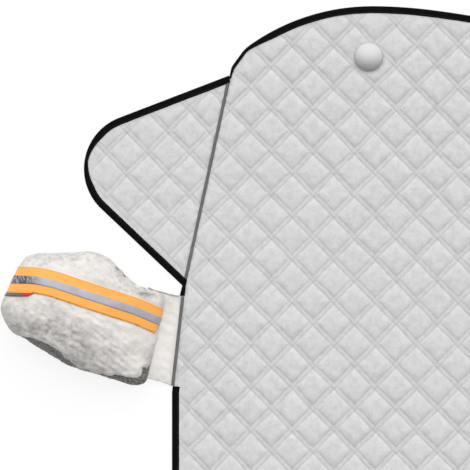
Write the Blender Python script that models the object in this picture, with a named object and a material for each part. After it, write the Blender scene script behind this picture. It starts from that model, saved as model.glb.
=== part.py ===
"""A quilted windshield frost cover, laid out flat with its face up.

Metres, +X to the right of the cover, +Y towards the roof edge, +Z up. The origin is on the
floor under the middle of the cover. Every side piece is built once, on the left, and its
right-hand copy shares the mesh under an empty that mirrors it.
"""

import math

import bmesh
import bpy
from mathutils import Vector

# Cover panel, seen from above. An inset is counted inwards from the straight side edge.
HEIGHT = 1.000  # crests of the top edge to the bottom edge
HALF_WIDTH = 0.724  # centre line to the straight side edge
CREST_INSET = 0.336
TOP_DIP = 0.042  # depth of the top edge's dip between its two crests
SHOULDER_RADIUS = 0.355  # of the top edge outside a crest
SHOULDER_INSET = 0.122
CORNER_INSET = 0.097
CORNER_DROP = 0.116  # crests down to the top corner
CORNER_RUN = 0.0143  # the edge above that corner, still in line with the wing's seam
CORNER_RADIUS = 0.020
WING_DROP = 0.3555  # height of the stretch that the wing is sewn to
KNEE_INSET = 0.020
SHORT_DROP = 0.0151  # height of the bound stretch below it
SLEEVE_DROP = 0.1510  # height of the stretch that the mirror bag's strip is sewn to
HIP_DROP = 0.0104  # from there down to the straight side edge
BOTTOM_RADIUS = 0.090
TOP_POINTS = 16
ARC_STEP = math.radians(9)

# Quilting: rows of stitching cross at these half steps, and pads stand between them
QUILT_STEP_X = 0.0348
QUILT_STEP_Y = 0.0359
QUILT_START_Y = 0.0407
WING_QUILT_SHIFT = (0.0015, -0.0014)  # the wings are cut from the cloth at another place
PAD_THICKNESS = 0.0070
SEAM_THICKNESS = 0.0026
PAD_FLAT_SHARE = 0.64  # the flat top of a pad, as a share of the quilting square

# Clearance between touching pieces
GAP = 0.0003

# Edge binding, a folded tape, and the narrow piping that closes each seam
BINDING_WIDTH = 0.0120
BINDING_CLOTH = 0.0010
RIM_THICKNESS = 0.0022  # the padding as the tape squeezes it
RIM_SLOPE = 0.0080  # how far the padding takes to rise beside the tape
NARROW_SHARE = 0.44  # the tape's visible width where a turn pulls it, as a share of the rest
NARROW_REACH = 0.050  # length of edge over which it widens again
PIPING_WIDTH = 0.0040
PIPING_HEIGHT = 0.0050
SEAM_SETBACK = PIPING_WIDTH / 2 + GAP
BINDING_HEIGHT = RIM_THICKNESS + 2 * (BINDING_CLOTH + GAP)

# Door wing
WING_TOP_SLOPE = math.radians(21.0)
WING_LOW_SLOPE = math.radians(43.4)
WING_TIP_RADIUS = 0.092

# Magnet buttons
MAGNET_X = 0.394
MAGNET_DROP = 0.0856
MAGNET_RADIUS = 0.024
MAGNET_RISE = 0.0115
MAGNET_SKIRT = 0.0022
MAGNET_SEAT = 0.0030  # the padding's thickness under a button
RIVET_RADIUS = 0.0030
BACK_RADIUS = 0.0150
BACK_THICKNESS = 0.0012
MAGNET_STEPS = 24

# Mirror bag: corners as (out from the panel's edge, up, radius), from the middle of its strip
BAG_CORNERS = (
    (0.017, 0.081, 0.015),
    (0.066, 0.095, 0.045),
    (0.128, 0.149, 0.070),
    (0.255, 0.149, 0.040),
    (0.298, 0.055, 0.022),
    (0.283, 0.021, 0.040),
    (0.184, -0.043, 0.070),
    (0.070, -0.075, 0.040),
    (0.051, -0.071, 0.012),
)
BAG_CENTRE = (0.174, 0.048)
BAG_HEIGHT = 0.095
BAG_WAIST = 0.030  # height of the widest outline
BAG_ROUNDNESS = 0.75  # below 1 gives a fuller outline than an ellipse
BAG_FLATNESS = 0.70  # below 1 gives a flatter top
BAG_NECK_SHARE = 0.45  # height at the strip, as a share of the rest
BAG_NECK_LENGTH = 0.160
BAG_CLOTH = 0.0016
BAG_HEM_ANGLE = math.radians(125)
BAG_PLEATS = 18
BAG_PLEAT_SHARE = 0.018
BAG_RINGS = 8
HEM_RADIUS = 0.0025
HEM_SIDES = 6
STRIP_CLOTH = 0.0016
STRIP_OUTER_TOP = (0.0495, 0.0906)
STRIP_OUTER_BOTTOM = (0.063, -0.0604)
STRIP_LIFT = 0.0150  # height at which the strip meets the bag
STRIP_EDGE_LIFT = 0.0022

# Reflective tape on the bag: its line, from the strip to past the tip
TAPE_LINE = (
    (0.029, 0.0330),
    (0.066, 0.0500),
    (0.205, 0.0965),
    (0.238, 0.1035),
    (0.340, 0.1035),
)
TAPE_WIDTH = 0.043
STRIPE_WIDTH = 0.0132
TAPE_CLOTH = 0.0009
STRIPE_CLOTH = 0.0005
TAPE_END_HEIGHT = 0.018  # where the tape ends, once round the tip

TOP_Y = HEIGHT / 2
HEM_TOP = 2 * HEM_RADIUS + GAP
CUTTER_REACH = 0.010  # how far a cutter runs past what it cuts

MATERIALS = {
    "silver_quilt": ((0.66, 0.66, 0.66), 0.45, 0.25),
    "black_tape": ((0.012, 0.012, 0.013), 0.80, 0.0),
    "grey_piping": ((0.12, 0.12, 0.12), 0.70, 0.0),
    "silver_cloth": ((0.74, 0.72, 0.70), 0.50, 0.10),
    "grey_elastic": ((0.20, 0.19, 0.18), 0.85, 0.0),
    "orange_tape": ((1.00, 0.42, 0.07), 0.55, 0.0),
    "reflective_stripe": ((0.46, 0.46, 0.50), 0.35, 0.40),
    "magnet_metal": ((0.72, 0.72, 0.72), 0.22, 0.90),
}


def clear_scene():
    for obj in list(bpy.data.objects):
        bpy.data.objects.remove(obj, do_unlink=True)


def make_materials():
    """One Principled material for each finish."""
    for name, (colour, roughness, metallic) in MATERIALS.items():
        material = bpy.data.materials.new(name)
        material.use_nodes = True
        shader = material.node_tree.nodes["Principled BSDF"]
        shader.inputs["Base Color"].default_value = (*colour, 1.0)
        shader.inputs["Roughness"].default_value = roughness
        shader.inputs["Metallic"].default_value = metallic


def add_object(name, mesh, material=None, parent=None, smooth=False):
    obj = bpy.data.objects.new(name, mesh)
    bpy.context.scene.collection.objects.link(obj)
    obj.parent = parent
    if material and not mesh.materials:
        mesh.materials.append(bpy.data.materials[material])
    if smooth:
        mesh.shade_smooth()
        mesh.set_sharp_from_angle(angle=math.radians(40))
    return obj


def as_cutter(obj):
    obj.hide_render = True
    obj.display_type = "WIRE"
    return obj


def boolean(obj, other, operation="DIFFERENCE"):
    modifier = obj.modifiers.new(other.name, "BOOLEAN")
    modifier.operation = operation
    modifier.solver = "EXACT"
    modifier.object = other


def cut_away(obj, cutters):
    """One Boolean for all the cutters, so that cuts can run into each other."""
    room = bpy.data.collections.new(obj.name + "_cutters")
    bpy.context.scene.collection.children.link(room)
    for cutter in cutters:
        room.objects.link(cutter)
    modifier = obj.modifiers.new(room.name, "BOOLEAN")
    modifier.operation = "DIFFERENCE"
    modifier.solver = "EXACT"
    modifier.operand_type = "COLLECTION"
    modifier.collection = room


def finished_mesh(name, bm):
    bmesh.ops.recalc_face_normals(bm, faces=bm.faces[:])
    mesh = bpy.data.meshes.new(name)
    bm.to_mesh(mesh)
    bm.free()
    return mesh


# Outlines in the plane

def unit(vector):
    return vector / vector.length


def left_of(direction):
    """Towards the inside of a loop that runs anticlockwise."""
    return Vector((-direction.y, direction.x))


def crossing(point, direction, other_point, other_direction):
    """Where two lines in the plane meet."""
    across = direction.x * other_direction.y - direction.y * other_direction.x
    between = other_point - point
    along = (between.x * other_direction.y - between.y * other_direction.x) / across
    return point + direction * along


def fillet(before, corner, after, radius):
    """Points of the arc that rounds a corner."""
    back, ahead = unit(before - corner), unit(after - corner)
    half = math.acos(max(-1.0, min(1.0, back.dot(ahead)))) / 2
    centre = corner + unit(back + ahead) * (radius / math.sin(half))
    start = corner + back * (radius / math.tan(half)) - centre
    turn = math.pi - 2 * half
    if back.x * ahead.y - back.y * ahead.x > 0:
        turn = -turn
    count = max(2, math.ceil(abs(turn) / ARC_STEP))
    points = []
    for i in range(count + 1):
        angle = turn * i / count
        points.append(
            centre
            + Vector(
                (
                    start.x * math.cos(angle) - start.y * math.sin(angle),
                    start.x * math.sin(angle) + start.y * math.cos(angle),
                )
            )
        )
    return points


def rounded_loop(corners):
    """A closed outline through corners given as (x, y, radius)."""
    points = [Vector(corner[:2]) for corner in corners]
    loop = []
    for i, corner in enumerate(corners):
        after = points[(i + 1) % len(points)]
        loop += fillet(points[i - 1], points[i], after, corner[2])
    return loop


def offset_path(path, distances):
    """The open path moved to its left, by its own distance at each point."""
    moved = []
    for i, point in enumerate(path):
        leaving = unit(path[min(i + 1, len(path) - 1)] - path[min(i, len(path) - 2)])
        arriving = unit(path[max(i, 1)] - path[max(i - 1, 0)])
        normal = unit(left_of(arriving) + left_of(leaving))
        moved.append(point + normal * (distances[i] / normal.dot(left_of(leaving))))
    return moved


def lengthened(path, extra):
    """The path with both ends run on."""
    start = path[0] + unit(path[0] - path[1]) * extra
    end = path[-1] + unit(path[-1] - path[-2]) * extra
    return [start, *path[1:-1], end]


def slid_onto(path, guides):
    """The path with its first and last stretch ending on a line given as (point, direction)."""
    start = crossing(path[0], path[1] - path[0], *guides[0])
    end = crossing(path[-1], path[-1] - path[-2], *guides[1])
    return [start, *path[1:-1], end]


def inset_loop(loop, distance):
    """A closed anticlockwise loop moved inwards."""
    padded = [loop[-1], *loop, loop[0]]
    return offset_path(padded, [distance] * len(padded))[1:-1]


def corner_run():
    """From the shoulder round into line with the wing's seam, and on to the corner."""
    bend = CORNER - SIDE * CORNER_RUN
    return [*fillet(SHOULDER, bend, CORNER, CORNER_RADIUS), CORNER]


def top_half():
    """Left half of the top edge, from the centre line to the corner."""
    points = []
    for i in range(TOP_POINTS // 2 + 1):
        share = 2 * i / TOP_POINTS
        dip = TOP_DIP * (1 + math.cos(math.pi * share)) / 2
        points.append(Vector((-CREST_X * share, TOP_Y - dip)))
    count = math.ceil(SHOULDER_ANGLE / ARC_STEP) + 1
    for i in range(1, count + 1):
        angle = SHOULDER_ANGLE * i / count
        points.append(
            Vector(
                (
                    -CREST_X - SHOULDER_RADIUS * math.sin(angle),
                    TOP_Y - SHOULDER_RADIUS * (1 - math.cos(angle)),
                )
            )
        )
    return [*points, *corner_run()]


CREST_X = HALF_WIDTH - CREST_INSET
SHOULDER_ANGLE = math.asin((CREST_INSET - SHOULDER_INSET) / SHOULDER_RADIUS)
SHOULDER_DROP = SHOULDER_RADIUS * (1 - math.cos(SHOULDER_ANGLE))
SHOULDER = Vector((SHOULDER_INSET - HALF_WIDTH, TOP_Y - SHOULDER_DROP))
CORNER = Vector((CORNER_INSET - HALF_WIDTH, TOP_Y - CORNER_DROP))
KNEE = Vector((KNEE_INSET - HALF_WIDTH, CORNER.y - WING_DROP))
HIP = Vector((-HALF_WIDTH, KNEE.y - SHORT_DROP - SLEEVE_DROP - HIP_DROP))
SLEEVE_TOP = KNEE.lerp(HIP, SHORT_DROP / (KNEE.y - HIP.y))
SLEEVE_BOTTOM = HIP.lerp(KNEE, HIP_DROP / (KNEE.y - HIP.y))
SIDE = unit(KNEE - CORNER)
LOWER_SIDE = unit(HIP - KNEE)
BAG_ANCHOR = (SLEEVE_TOP + SLEEVE_BOTTOM) / 2


def low_half():
    """Left half of the lower edge, from the strip to the centre line."""
    foot = Vector((-HALF_WIDTH, -TOP_Y))
    middle = Vector((0, -TOP_Y))
    return [SLEEVE_BOTTOM, HIP, *fillet(HIP, foot, middle, BOTTOM_RADIUS), middle]


def mirrored(points):
    """The same points on the right, in the order that carries on round the loop."""
    return [Vector((-point.x, point.y)) for point in reversed(points)]


def panel_loop():
    left = [*top_half(), KNEE, SLEEVE_TOP, *low_half()]
    return left + mirrored(left)[1:-1]


def wing_path():
    """The wing's free edge, from the corner round its tip to the knee."""
    top = Vector((-math.cos(WING_TOP_SLOPE), -math.sin(WING_TOP_SLOPE)))
    low = Vector((-math.cos(WING_LOW_SLOPE), math.sin(WING_LOW_SLOPE)))
    tip = crossing(CORNER, top, KNEE, low)
    return [CORNER, *fillet(CORNER, tip, KNEE, WING_TIP_RADIUS), KNEE]


# Solids

def prism(name, loop, low, high):
    """A closed outline as a solid between two heights."""
    bm = bmesh.new()
    face = bm.faces.new([bm.verts.new((p.x, p.y, low)) for p in loop])
    made = bmesh.ops.extrude_face_region(bm, geom=[face])
    risen = [v for v in made["geom"] if isinstance(v, bmesh.types.BMVert)]
    bmesh.ops.translate(bm, verts=risen, vec=(0, 0, high - low))
    return finished_mesh(name, bm)


def skin_rings(bm, rings, closed):
    """Quads between neighbouring rings of vertices."""
    count = len(rings[0])
    for ring, following in zip(rings, rings[1:]):
        for i in range(count if closed else count - 1):
            j = (i + 1) % count
            bm.faces.new((ring[i], ring[j], following[j], following[i]))


def swept(name, section, path, shares=None, guides=None, extra=0.0):
    """A closed section of (distance inwards, height) carried along an open path.

    shares gives, at each point of the path, how much of the section's distance past the
    cloth's own thickness is kept. The ends lie on the guides, or else square to the path,
    and run on by extra.
    """
    shares = shares or [1.0] * len(path)
    rails = []
    for inward, height in section:
        past = max(0.0, inward - BINDING_CLOTH)
        distances = [inward - past + past * share for share in shares]
        rail = offset_path(path, distances)
        rail = lengthened(slid_onto(rail, guides) if guides else rail, extra)
        rails.append([(p.x, p.y, height) for p in rail])
    bm = bmesh.new()
    rings = [[bm.verts.new(rail[i]) for rail in rails] for i in range(len(path))]
    skin_rings(bm, rings, closed=True)
    bm.faces.new(rings[0])
    bm.faces.new(rings[-1])
    return finished_mesh(name, bm)


def turned(name, profile, steps):
    """A solid of revolution about Z. profile runs as (radius, height) from pole to pole."""
    bm = bmesh.new()
    rings = []
    for radius, height in profile[1:-1]:
        ring = []
        for i in range(steps):
            angle = math.tau * i / steps
            ring.append(
                bm.verts.new((radius * math.cos(angle), radius * math.sin(angle), height))
            )
        rings.append(ring)
    skin_rings(bm, rings, closed=True)
    for ring, (_, height) in ((rings[0], profile[0]), (rings[-1], profile[-1])):
        pole = bm.verts.new((0, 0, height))
        for i in range(steps):
            bm.faces.new((pole, ring[i], ring[(i + 1) % steps]))
    return finished_mesh(name, bm)


def quilted_slab(name, low, high, shift=(0.0, 0.0)):
    """Padding with crossed rows of stitching, over the rectangle from low to high."""
    first_k = math.floor((low.x - shift[0]) / QUILT_STEP_X) - 1
    last_k = math.ceil((high.x - shift[0]) / QUILT_STEP_X) + 1
    start_y = QUILT_START_Y + shift[1]
    first_j = math.floor((low.y - start_y) / QUILT_STEP_Y) - 1
    last_j = math.ceil((high.y - start_y) / QUILT_STEP_Y) + 1
    bm = bmesh.new()
    crossings = {}

    def crossing_vertex(k, j):
        if (k, j) not in crossings:
            place = (shift[0] + k * QUILT_STEP_X, start_y + j * QUILT_STEP_Y)
            crossings[k, j] = bm.verts.new((*place, SEAM_THICKNESS))
        return crossings[k, j]

    for k in range(first_k, last_k + 1):
        for j in range(first_j, last_j + 1):
            if (k + j) % 2 == 0:
                continue
            around = ((k + 1, j), (k, j + 1), (k - 1, j), (k, j - 1))
            outer = [crossing_vertex(*place) for place in around]
            centre = Vector((shift[0] + k * QUILT_STEP_X, start_y + j * QUILT_STEP_Y))
            inner = []
            for vertex in outer:
                spot = centre.lerp(vertex.co.xy, PAD_FLAT_SHARE)
                inner.append(bm.verts.new((*spot, PAD_THICKNESS)))
            skin_rings(bm, [outer, inner], closed=True)
            bm.faces.new(inner)
    rim = [edge for edge in bm.edges if edge.is_boundary]
    made = bmesh.ops.extrude_edge_only(bm, edges=rim)
    sunk = [v for v in made["geom"] if isinstance(v, bmesh.types.BMVert)]
    for vertex in sunk:
        vertex.co.z = -CUTTER_REACH
    bmesh.ops.edgeloop_fill(
        bm, edges=[edge for edge in bm.edges if edge.is_boundary]
    )
    return finished_mesh(name, bm)


# Binding and piping

def binding_section():
    top, cloth, width = BINDING_HEIGHT, BINDING_CLOTH, BINDING_WIDTH
    return (
        (width, top),
        (cloth, top),
        (0.0, top / 2),
        (cloth, 0.0),
        (width, 0.0),
        (width, cloth),
        (cloth, cloth),
        (cloth, top - cloth),
        (width, top - cloth),
    )


def press_section():
    """What the binding takes out of the padding: all but the rim that it squeezes."""
    low = BINDING_CLOTH + GAP
    high = low + RIM_THICKNESS
    width = BINDING_WIDTH + GAP
    crest = PAD_THICKNESS + CUTTER_REACH
    slope = (crest - high) * RIM_SLOPE / (PAD_THICKNESS - high)
    return (
        (-CUTTER_REACH, -CUTTER_REACH),
        (width, -CUTTER_REACH),
        (width, low),
        (low, low),
        (low, high),
        (width, high),
        (width + slope, crest),
        (-CUTTER_REACH, crest),
    )


def piping_section():
    half, height = PIPING_WIDTH / 2, PIPING_HEIGHT
    ease = half * 0.4
    return (
        (half, ease),
        (half, height - ease),
        (half - ease, height),
        (ease - half, height),
        (-half, height - ease),
        (-half, ease),
        (ease - half, 0.0),
        (half - ease, 0.0),
    )


def width_shares(path, turns):
    """The tape's visible width along a path: least at the turns, and full away from them."""
    shares = []
    for point in path:
        near = min(((point - turn).length for turn in turns), default=NARROW_REACH)
        shares.append(NARROW_SHARE + (1 - NARROW_SHARE) * min(1.0, near / NARROW_REACH))
    return shares


def add_binding(names, path, parents, turns=(), guides=None):
    """A binding along a path, one for each parent, and the cutters that press its rims."""
    shares = width_shares(path, turns)
    mesh = swept(names[0], binding_section(), path, shares, guides)
    press = swept(names[0] + "_press", press_section(), path, shares, guides, GAP)
    cutters = []
    for name, parent in zip(names, parents):
        add_object(name, mesh, "black_tape", parent)
        cutters.append(as_cutter(add_object(name + "_press", press, None, parent)))
    return cutters


def add_piping(stem, path, sides):
    mesh = swept(stem, piping_section(), path, extra=-GAP)
    for side, parent in sides.items():
        add_object(f"{stem}_{side}", mesh, "grey_piping", parent, smooth=True)


# Panels

def make_main_panel():
    edge = Vector((HALF_WIDTH, TOP_Y))
    slab = quilted_slab("main_panel", -edge, edge)
    panel = add_object("main_panel", slab, "silver_quilt")
    loop = inset_loop(panel_loop(), SEAM_SETBACK)
    outline = prism("panel_outline", loop, 0.0, PAD_THICKNESS + CUTTER_REACH)
    boolean(panel, as_cutter(add_object("panel_outline", outline)), "INTERSECT")
    return panel


def make_wings(sides):
    path = wing_path()
    outline = inset_loop(path, SEAM_SETBACK)
    low = Vector((min(p.x for p in path), min(p.y for p in path)))
    high = Vector((max(p.x for p in path), max(p.y for p in path)))
    slab = quilted_slab("wing_panel", low, high, WING_QUILT_SHIFT)
    shape = prism("wing_outline", outline, 0.0, PAD_THICKNESS + CUTTER_REACH)
    wings = []
    for side, parent in sides.items():
        wing = add_object(f"wing_panel_{side}", slab, "silver_quilt", parent)
        cutter = as_cutter(add_object(f"wing_outline_{side}", shape, None, parent))
        boolean(wing, cutter, "INTERSECT")
        wings.append(wing)
    return wings


def bind_edges(wings, sides):
    """The tape along each free edge, and the piping along each sewn one.

    Returns the cutters that press the main panel's rims.
    """
    outer_seam = (CORNER - left_of(SIDE) * SEAM_SETBACK, SIDE)
    top_end = (CORNER, left_of(SIDE))
    other_end = tuple(Vector((-v.x, v.y)) for v in top_end)

    left_top = top_half()
    top = mirrored(left_top)[:-1] + left_top
    turned_in = [SHOULDER, *corner_run()]
    presses = add_binding(
        ["binding_top"],
        top,
        [None],
        turns=turned_in + mirrored(turned_in),
        guides=(other_end, top_end),
    )
    low = low_half()
    presses += add_binding(["binding_bottom"], low + mirrored(low)[1:], [None])

    parents = list(sides.values())
    short = [f"binding_short_{side}" for side in sides]
    presses += add_binding(short, [KNEE, SLEEVE_TOP], parents, turns=[KNEE])

    path = wing_path()
    wing_presses = add_binding(
        [f"wing_binding_{side}" for side in sides],
        path,
        parents,
        turns=[path[len(path) // 2]],
        guides=(outer_seam, outer_seam),
    )
    for wing, press in zip(wings, wing_presses):
        boolean(wing, press)
    add_piping("wing_piping", [CORNER, KNEE], sides)
    add_piping("sleeve_piping", [SLEEVE_TOP, SLEEVE_BOTTOM], sides)
    return presses


# Magnet buttons

def make_magnets(sides):
    """A domed cap with a rivet through the padding, and the disc that holds it behind.

    Returns the cutters that make their room in the padding.
    """
    seat = MAGNET_SEAT + GAP
    dome = []
    for i in range(5):
        angle = math.radians(90 * i / 5)
        rise = MAGNET_SKIRT + (MAGNET_RISE - MAGNET_SKIRT) * math.cos(angle)
        dome.append((MAGNET_RADIUS * math.sin(angle), seat + rise))
    cap = turned(
        "magnet_cap",
        (
            *dome,
            (MAGNET_RADIUS, seat + MAGNET_SKIRT),
            (MAGNET_RADIUS - MAGNET_SKIRT / 3, seat),
            (RIVET_RADIUS, seat),
            (RIVET_RADIUS, 0.0),
            (0.0, 0.0),
        ),
        MAGNET_STEPS,
    )
    hole = RIVET_RADIUS + GAP
    disc = prism("magnet_disc", circle(BACK_RADIUS), 0.0, BACK_THICKNESS)
    disc_hole = prism("disc_hole", circle(hole), -CUTTER_REACH, CUTTER_REACH)
    recess = BACK_THICKNESS + GAP
    seat_cutter = turned(
        "magnet_seat",
        (
            (0.0, -CUTTER_REACH),
            (BACK_RADIUS + GAP, -CUTTER_REACH),
            (BACK_RADIUS + GAP, recess),
            (hole, recess),
            (hole, MAGNET_SEAT),
            (MAGNET_RADIUS + GAP, MAGNET_SEAT),
            (MAGNET_RADIUS + GAP, CUTTER_REACH),
            (0.0, CUTTER_REACH),
        ),
        MAGNET_STEPS,
    )
    seats = []
    for side, parent in sides.items():
        spot = (-MAGNET_X, TOP_Y - MAGNET_DROP, 0.0)
        made = (
            add_object(f"magnet_cap_{side}", cap, "magnet_metal", parent, smooth=True),
            add_object(f"magnet_disc_{side}", disc, "magnet_metal", parent),
            as_cutter(add_object(f"disc_hole_{side}", disc_hole, None, parent)),
            as_cutter(add_object(f"magnet_seat_{side}", seat_cutter, None, parent)),
        )
        for obj in made:
            obj.location = spot
        boolean(made[1], made[2])
        seats.append(made[3])
    return seats


def circle(radius):
    points = []
    for i in range(MAGNET_STEPS):
        angle = math.tau * i / MAGNET_STEPS
        points.append(Vector((radius * math.cos(angle), radius * math.sin(angle))))
    return points


# Mirror bag

BAG_LOOP = rounded_loop(BAG_CORNERS)


def bag_reach(angle):
    """How far the bag's outline lies from its centre, in that direction."""
    direction = Vector((math.cos(angle), math.sin(angle)))
    centre = Vector(BAG_CENTRE)
    farthest = 0.0
    for i, point in enumerate(BAG_LOOP):
        edge = BAG_LOOP[i - 1] - point
        if abs(direction.x * edge.y - direction.y * edge.x) < 1e-12:
            continue
        met = crossing(centre, direction, point, edge)
        along = (met - centre).dot(direction)
        share = (met - point).dot(edge) / edge.dot(edge)
        if -1e-6 <= share <= 1 + 1e-6:
            farthest = max(farthest, along)
    return farthest


def in_frame(out, up, height):
    """A point given from the middle of the strip, in the cover's own frame."""
    return Vector((BAG_ANCHOR.x - out, BAG_ANCHOR.y + up, height))


def bag_point(angle, tilt, outset=0.0, pleat=0.0):
    """A point of the bag: angle goes round it, and tilt runs from its crown to its hem."""
    share = math.sin(tilt) ** BAG_ROUNDNESS * (1 + pleat)
    reach = bag_reach(angle) * share + outset * math.sin(tilt)
    out = BAG_CENTRE[0] + reach * math.cos(angle)
    up = BAG_CENTRE[1] + reach * math.sin(angle)
    rise = math.cos(tilt)
    if rise >= 0:
        height = BAG_WAIST + (BAG_HEIGHT - BAG_WAIST) * rise**BAG_FLATNESS
    else:
        height = BAG_WAIST - (BAG_WAIST - HEM_TOP) * rise / math.cos(BAG_HEM_ANGLE)
    along = min(1.0, max(0.0, out / BAG_NECK_LENGTH))
    ease = along * along * (3 - 2 * along)
    neck = BAG_NECK_SHARE + (1 - BAG_NECK_SHARE) * ease
    return in_frame(out, up, HEM_TOP + (height - HEM_TOP) * neck + outset * rise)


def bag_surface(outset=0.0):
    """An open bmesh of the bag from its crown to its hem, and its last ring."""
    bm = bmesh.new()
    crown = bm.verts.new(bag_point(0.0, 0.0, outset))
    rings = []
    for step in range(1, BAG_RINGS + 1):
        tilt = BAG_HEM_ANGLE * step / BAG_RINGS
        gathered = max(0.0, (tilt - math.pi / 2) / (BAG_HEM_ANGLE - math.pi / 2))
        ring = []
        for i in range(2 * BAG_PLEATS):
            angle = math.tau * i / (2 * BAG_PLEATS)
            pleat = BAG_PLEAT_SHARE * gathered * (-1) ** i
            ring.append(bm.verts.new(bag_point(angle, tilt, outset, pleat)))
        rings.append(ring)
    for i in range(2 * BAG_PLEATS):
        bm.faces.new((crown, rings[0][i], rings[0][(i + 1) % (2 * BAG_PLEATS)]))
    skin_rings(bm, rings, closed=True)
    bmesh.ops.triangulate(bm, faces=bm.faces[:], quad_method="FIXED")
    return bm, rings[-1]


def bag_filled(name, outset):
    """All that lies within that distance outside the bag's cloth, as one solid."""
    bm, hem = bag_surface(outset)
    bm.faces.new(hem)
    return finished_mesh(name, bm)


def hem_ring():
    """The elastic hem, a tube that the bag stands on."""
    bm = bmesh.new()
    rings = []
    for i in range(2 * BAG_PLEATS):
        angle = math.tau * i / (2 * BAG_PLEATS)
        middle = bag_point(angle, BAG_HEM_ANGLE, 0.0, BAG_PLEAT_SHARE * (-1) ** i)
        outward = Vector((-math.cos(angle), math.sin(angle), 0.0))
        ring = []
        for side in range(HEM_SIDES):
            turn = math.tau * side / HEM_SIDES + math.pi / 2
            lift = Vector((0, 0, HEM_RADIUS * (1 + math.sin(turn)) - middle.z))
            ring.append(
                bm.verts.new(middle + lift + outward * (HEM_RADIUS * math.cos(turn)))
            )
        rings.append(ring)
    skin_rings(bm, [*rings, rings[0]], closed=True)
    return finished_mesh("mirror_hem", bm)


def sleeve_strip():
    """The flat cloth between the cover's edge and the bag, before the bag cuts its end."""
    away = -left_of(LOWER_SIDE) * SEAM_SETBACK
    inner = ((SLEEVE_TOP + away), (SLEEVE_BOTTOM + away))
    bm = bmesh.new()
    rings = []
    for cloth in (0.0, STRIP_CLOTH):
        edge = STRIP_EDGE_LIFT + cloth
        rings.append(
            [
                bm.verts.new((inner[0].x, inner[0].y, edge)),
                bm.verts.new((inner[1].x, inner[1].y, edge)),
                bm.verts.new(in_frame(*STRIP_OUTER_BOTTOM, STRIP_LIFT + cloth)),
                bm.verts.new(in_frame(*STRIP_OUTER_TOP, STRIP_LIFT + cloth)),
            ]
        )
    skin_rings(bm, rings, closed=True)
    bm.faces.new(rings[0])
    bm.faces.new(rings[1])
    return finished_mesh("sleeve_strip", bm)


def band_outline(name, half_width):
    """The room over and round the tip of the bag that a band of that width may fill."""
    path = [in_frame(*point, 0.0).xy for point in TAPE_LINE]
    one = offset_path(path, [half_width] * len(path))
    other = offset_path(path, [-half_width] * len(path))
    return prism(name, one + other[::-1], TAPE_END_HEIGHT, BAG_HEIGHT + CUTTER_REACH)


def make_mirror_bags(sides):
    surface, _ = bag_surface()
    bag = finished_mesh("mirror_bag", surface)
    hem = hem_ring()
    strip = sleeve_strip()
    room = bag_filled("bag_room", GAP)
    tape = bag_filled("orange_tape", GAP + TAPE_CLOTH)
    tape_room = bag_filled("tape_room", TAPE_CLOTH + 2 * GAP)
    stripe = bag_filled("silver_stripe", TAPE_CLOTH + 2 * GAP + STRIPE_CLOTH)
    tape_outline = band_outline("tape_outline", TAPE_WIDTH / 2)
    stripe_outline = band_outline("stripe_outline", STRIPE_WIDTH / 2)

    def cutter(mesh, side, parent):
        return as_cutter(add_object(f"{mesh.name}_{side}", mesh, None, parent))

    for side, parent in sides.items():
        shell = add_object(f"mirror_bag_{side}", bag, "silver_cloth", parent, smooth=True)
        thicken = shell.modifiers.new("cloth", "SOLIDIFY")
        thicken.thickness = BAG_CLOTH
        thicken.offset = -1
        add_object(f"mirror_hem_{side}", hem, "grey_elastic", parent, smooth=True)
        sleeve = add_object(f"sleeve_strip_{side}", strip, "silver_cloth", parent)
        band = add_object(f"orange_tape_{side}", tape, "orange_tape", parent)
        line = add_object(f"silver_stripe_{side}", stripe, "reflective_stripe", parent)
        bag_room = cutter(room, side, parent)
        boolean(sleeve, bag_room)
        boolean(band, cutter(tape_outline, side, parent), "INTERSECT")
        boolean(band, bag_room)
        boolean(line, cutter(stripe_outline, side, parent), "INTERSECT")
        boolean(line, cutter(tape_room, side, parent))


def main():
    clear_scene()
    make_materials()
    sides = {}
    for side, turn in (("left", 1), ("right", -1)):
        sides[side] = bpy.data.objects.new(f"{side}_side", None)
        sides[side].scale.x = turn
        bpy.context.scene.collection.objects.link(sides[side])
    panel = make_main_panel()
    wings = make_wings(sides)
    cut_away(panel, bind_edges(wings, sides) + make_magnets(sides))
    make_mirror_bags(sides)


main()
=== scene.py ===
import math

import bmesh
import bpy
import numpy as np
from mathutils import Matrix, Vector, geometry, noise


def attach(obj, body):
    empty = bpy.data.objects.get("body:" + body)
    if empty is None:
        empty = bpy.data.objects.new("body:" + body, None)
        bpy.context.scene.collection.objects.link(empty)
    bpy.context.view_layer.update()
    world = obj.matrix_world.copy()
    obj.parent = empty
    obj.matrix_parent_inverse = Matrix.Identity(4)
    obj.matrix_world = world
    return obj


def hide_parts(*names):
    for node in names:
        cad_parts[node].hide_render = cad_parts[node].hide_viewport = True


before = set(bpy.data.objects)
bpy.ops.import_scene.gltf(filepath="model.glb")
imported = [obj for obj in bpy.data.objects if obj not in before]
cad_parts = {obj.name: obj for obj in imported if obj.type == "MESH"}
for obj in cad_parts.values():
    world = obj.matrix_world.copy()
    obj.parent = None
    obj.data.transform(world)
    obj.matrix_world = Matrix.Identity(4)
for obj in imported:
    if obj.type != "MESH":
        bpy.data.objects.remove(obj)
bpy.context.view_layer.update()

# Sizes shared with the solids, in metres
HEIGHT = 1.000
HALF_WIDTH = 0.724
CREST_INSET = 0.336
TOP_DIP = 0.042
SHOULDER_RADIUS = 0.355
SHOULDER_INSET = 0.122
CORNER_INSET = 0.097
CORNER_DROP = 0.116
CORNER_RUN = 0.0143
CORNER_RADIUS = 0.020
WING_DROP = 0.3555
KNEE_INSET = 0.020
SHORT_DROP = 0.0151
SLEEVE_DROP = 0.1510
HIP_DROP = 0.0104
BOTTOM_RADIUS = 0.090
QUILT_STEP_X = 0.0348
QUILT_STEP_Y = 0.0359
QUILT_START_Y = 0.0407
WING_QUILT_SHIFT = (0.0015, -0.0014)
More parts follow.
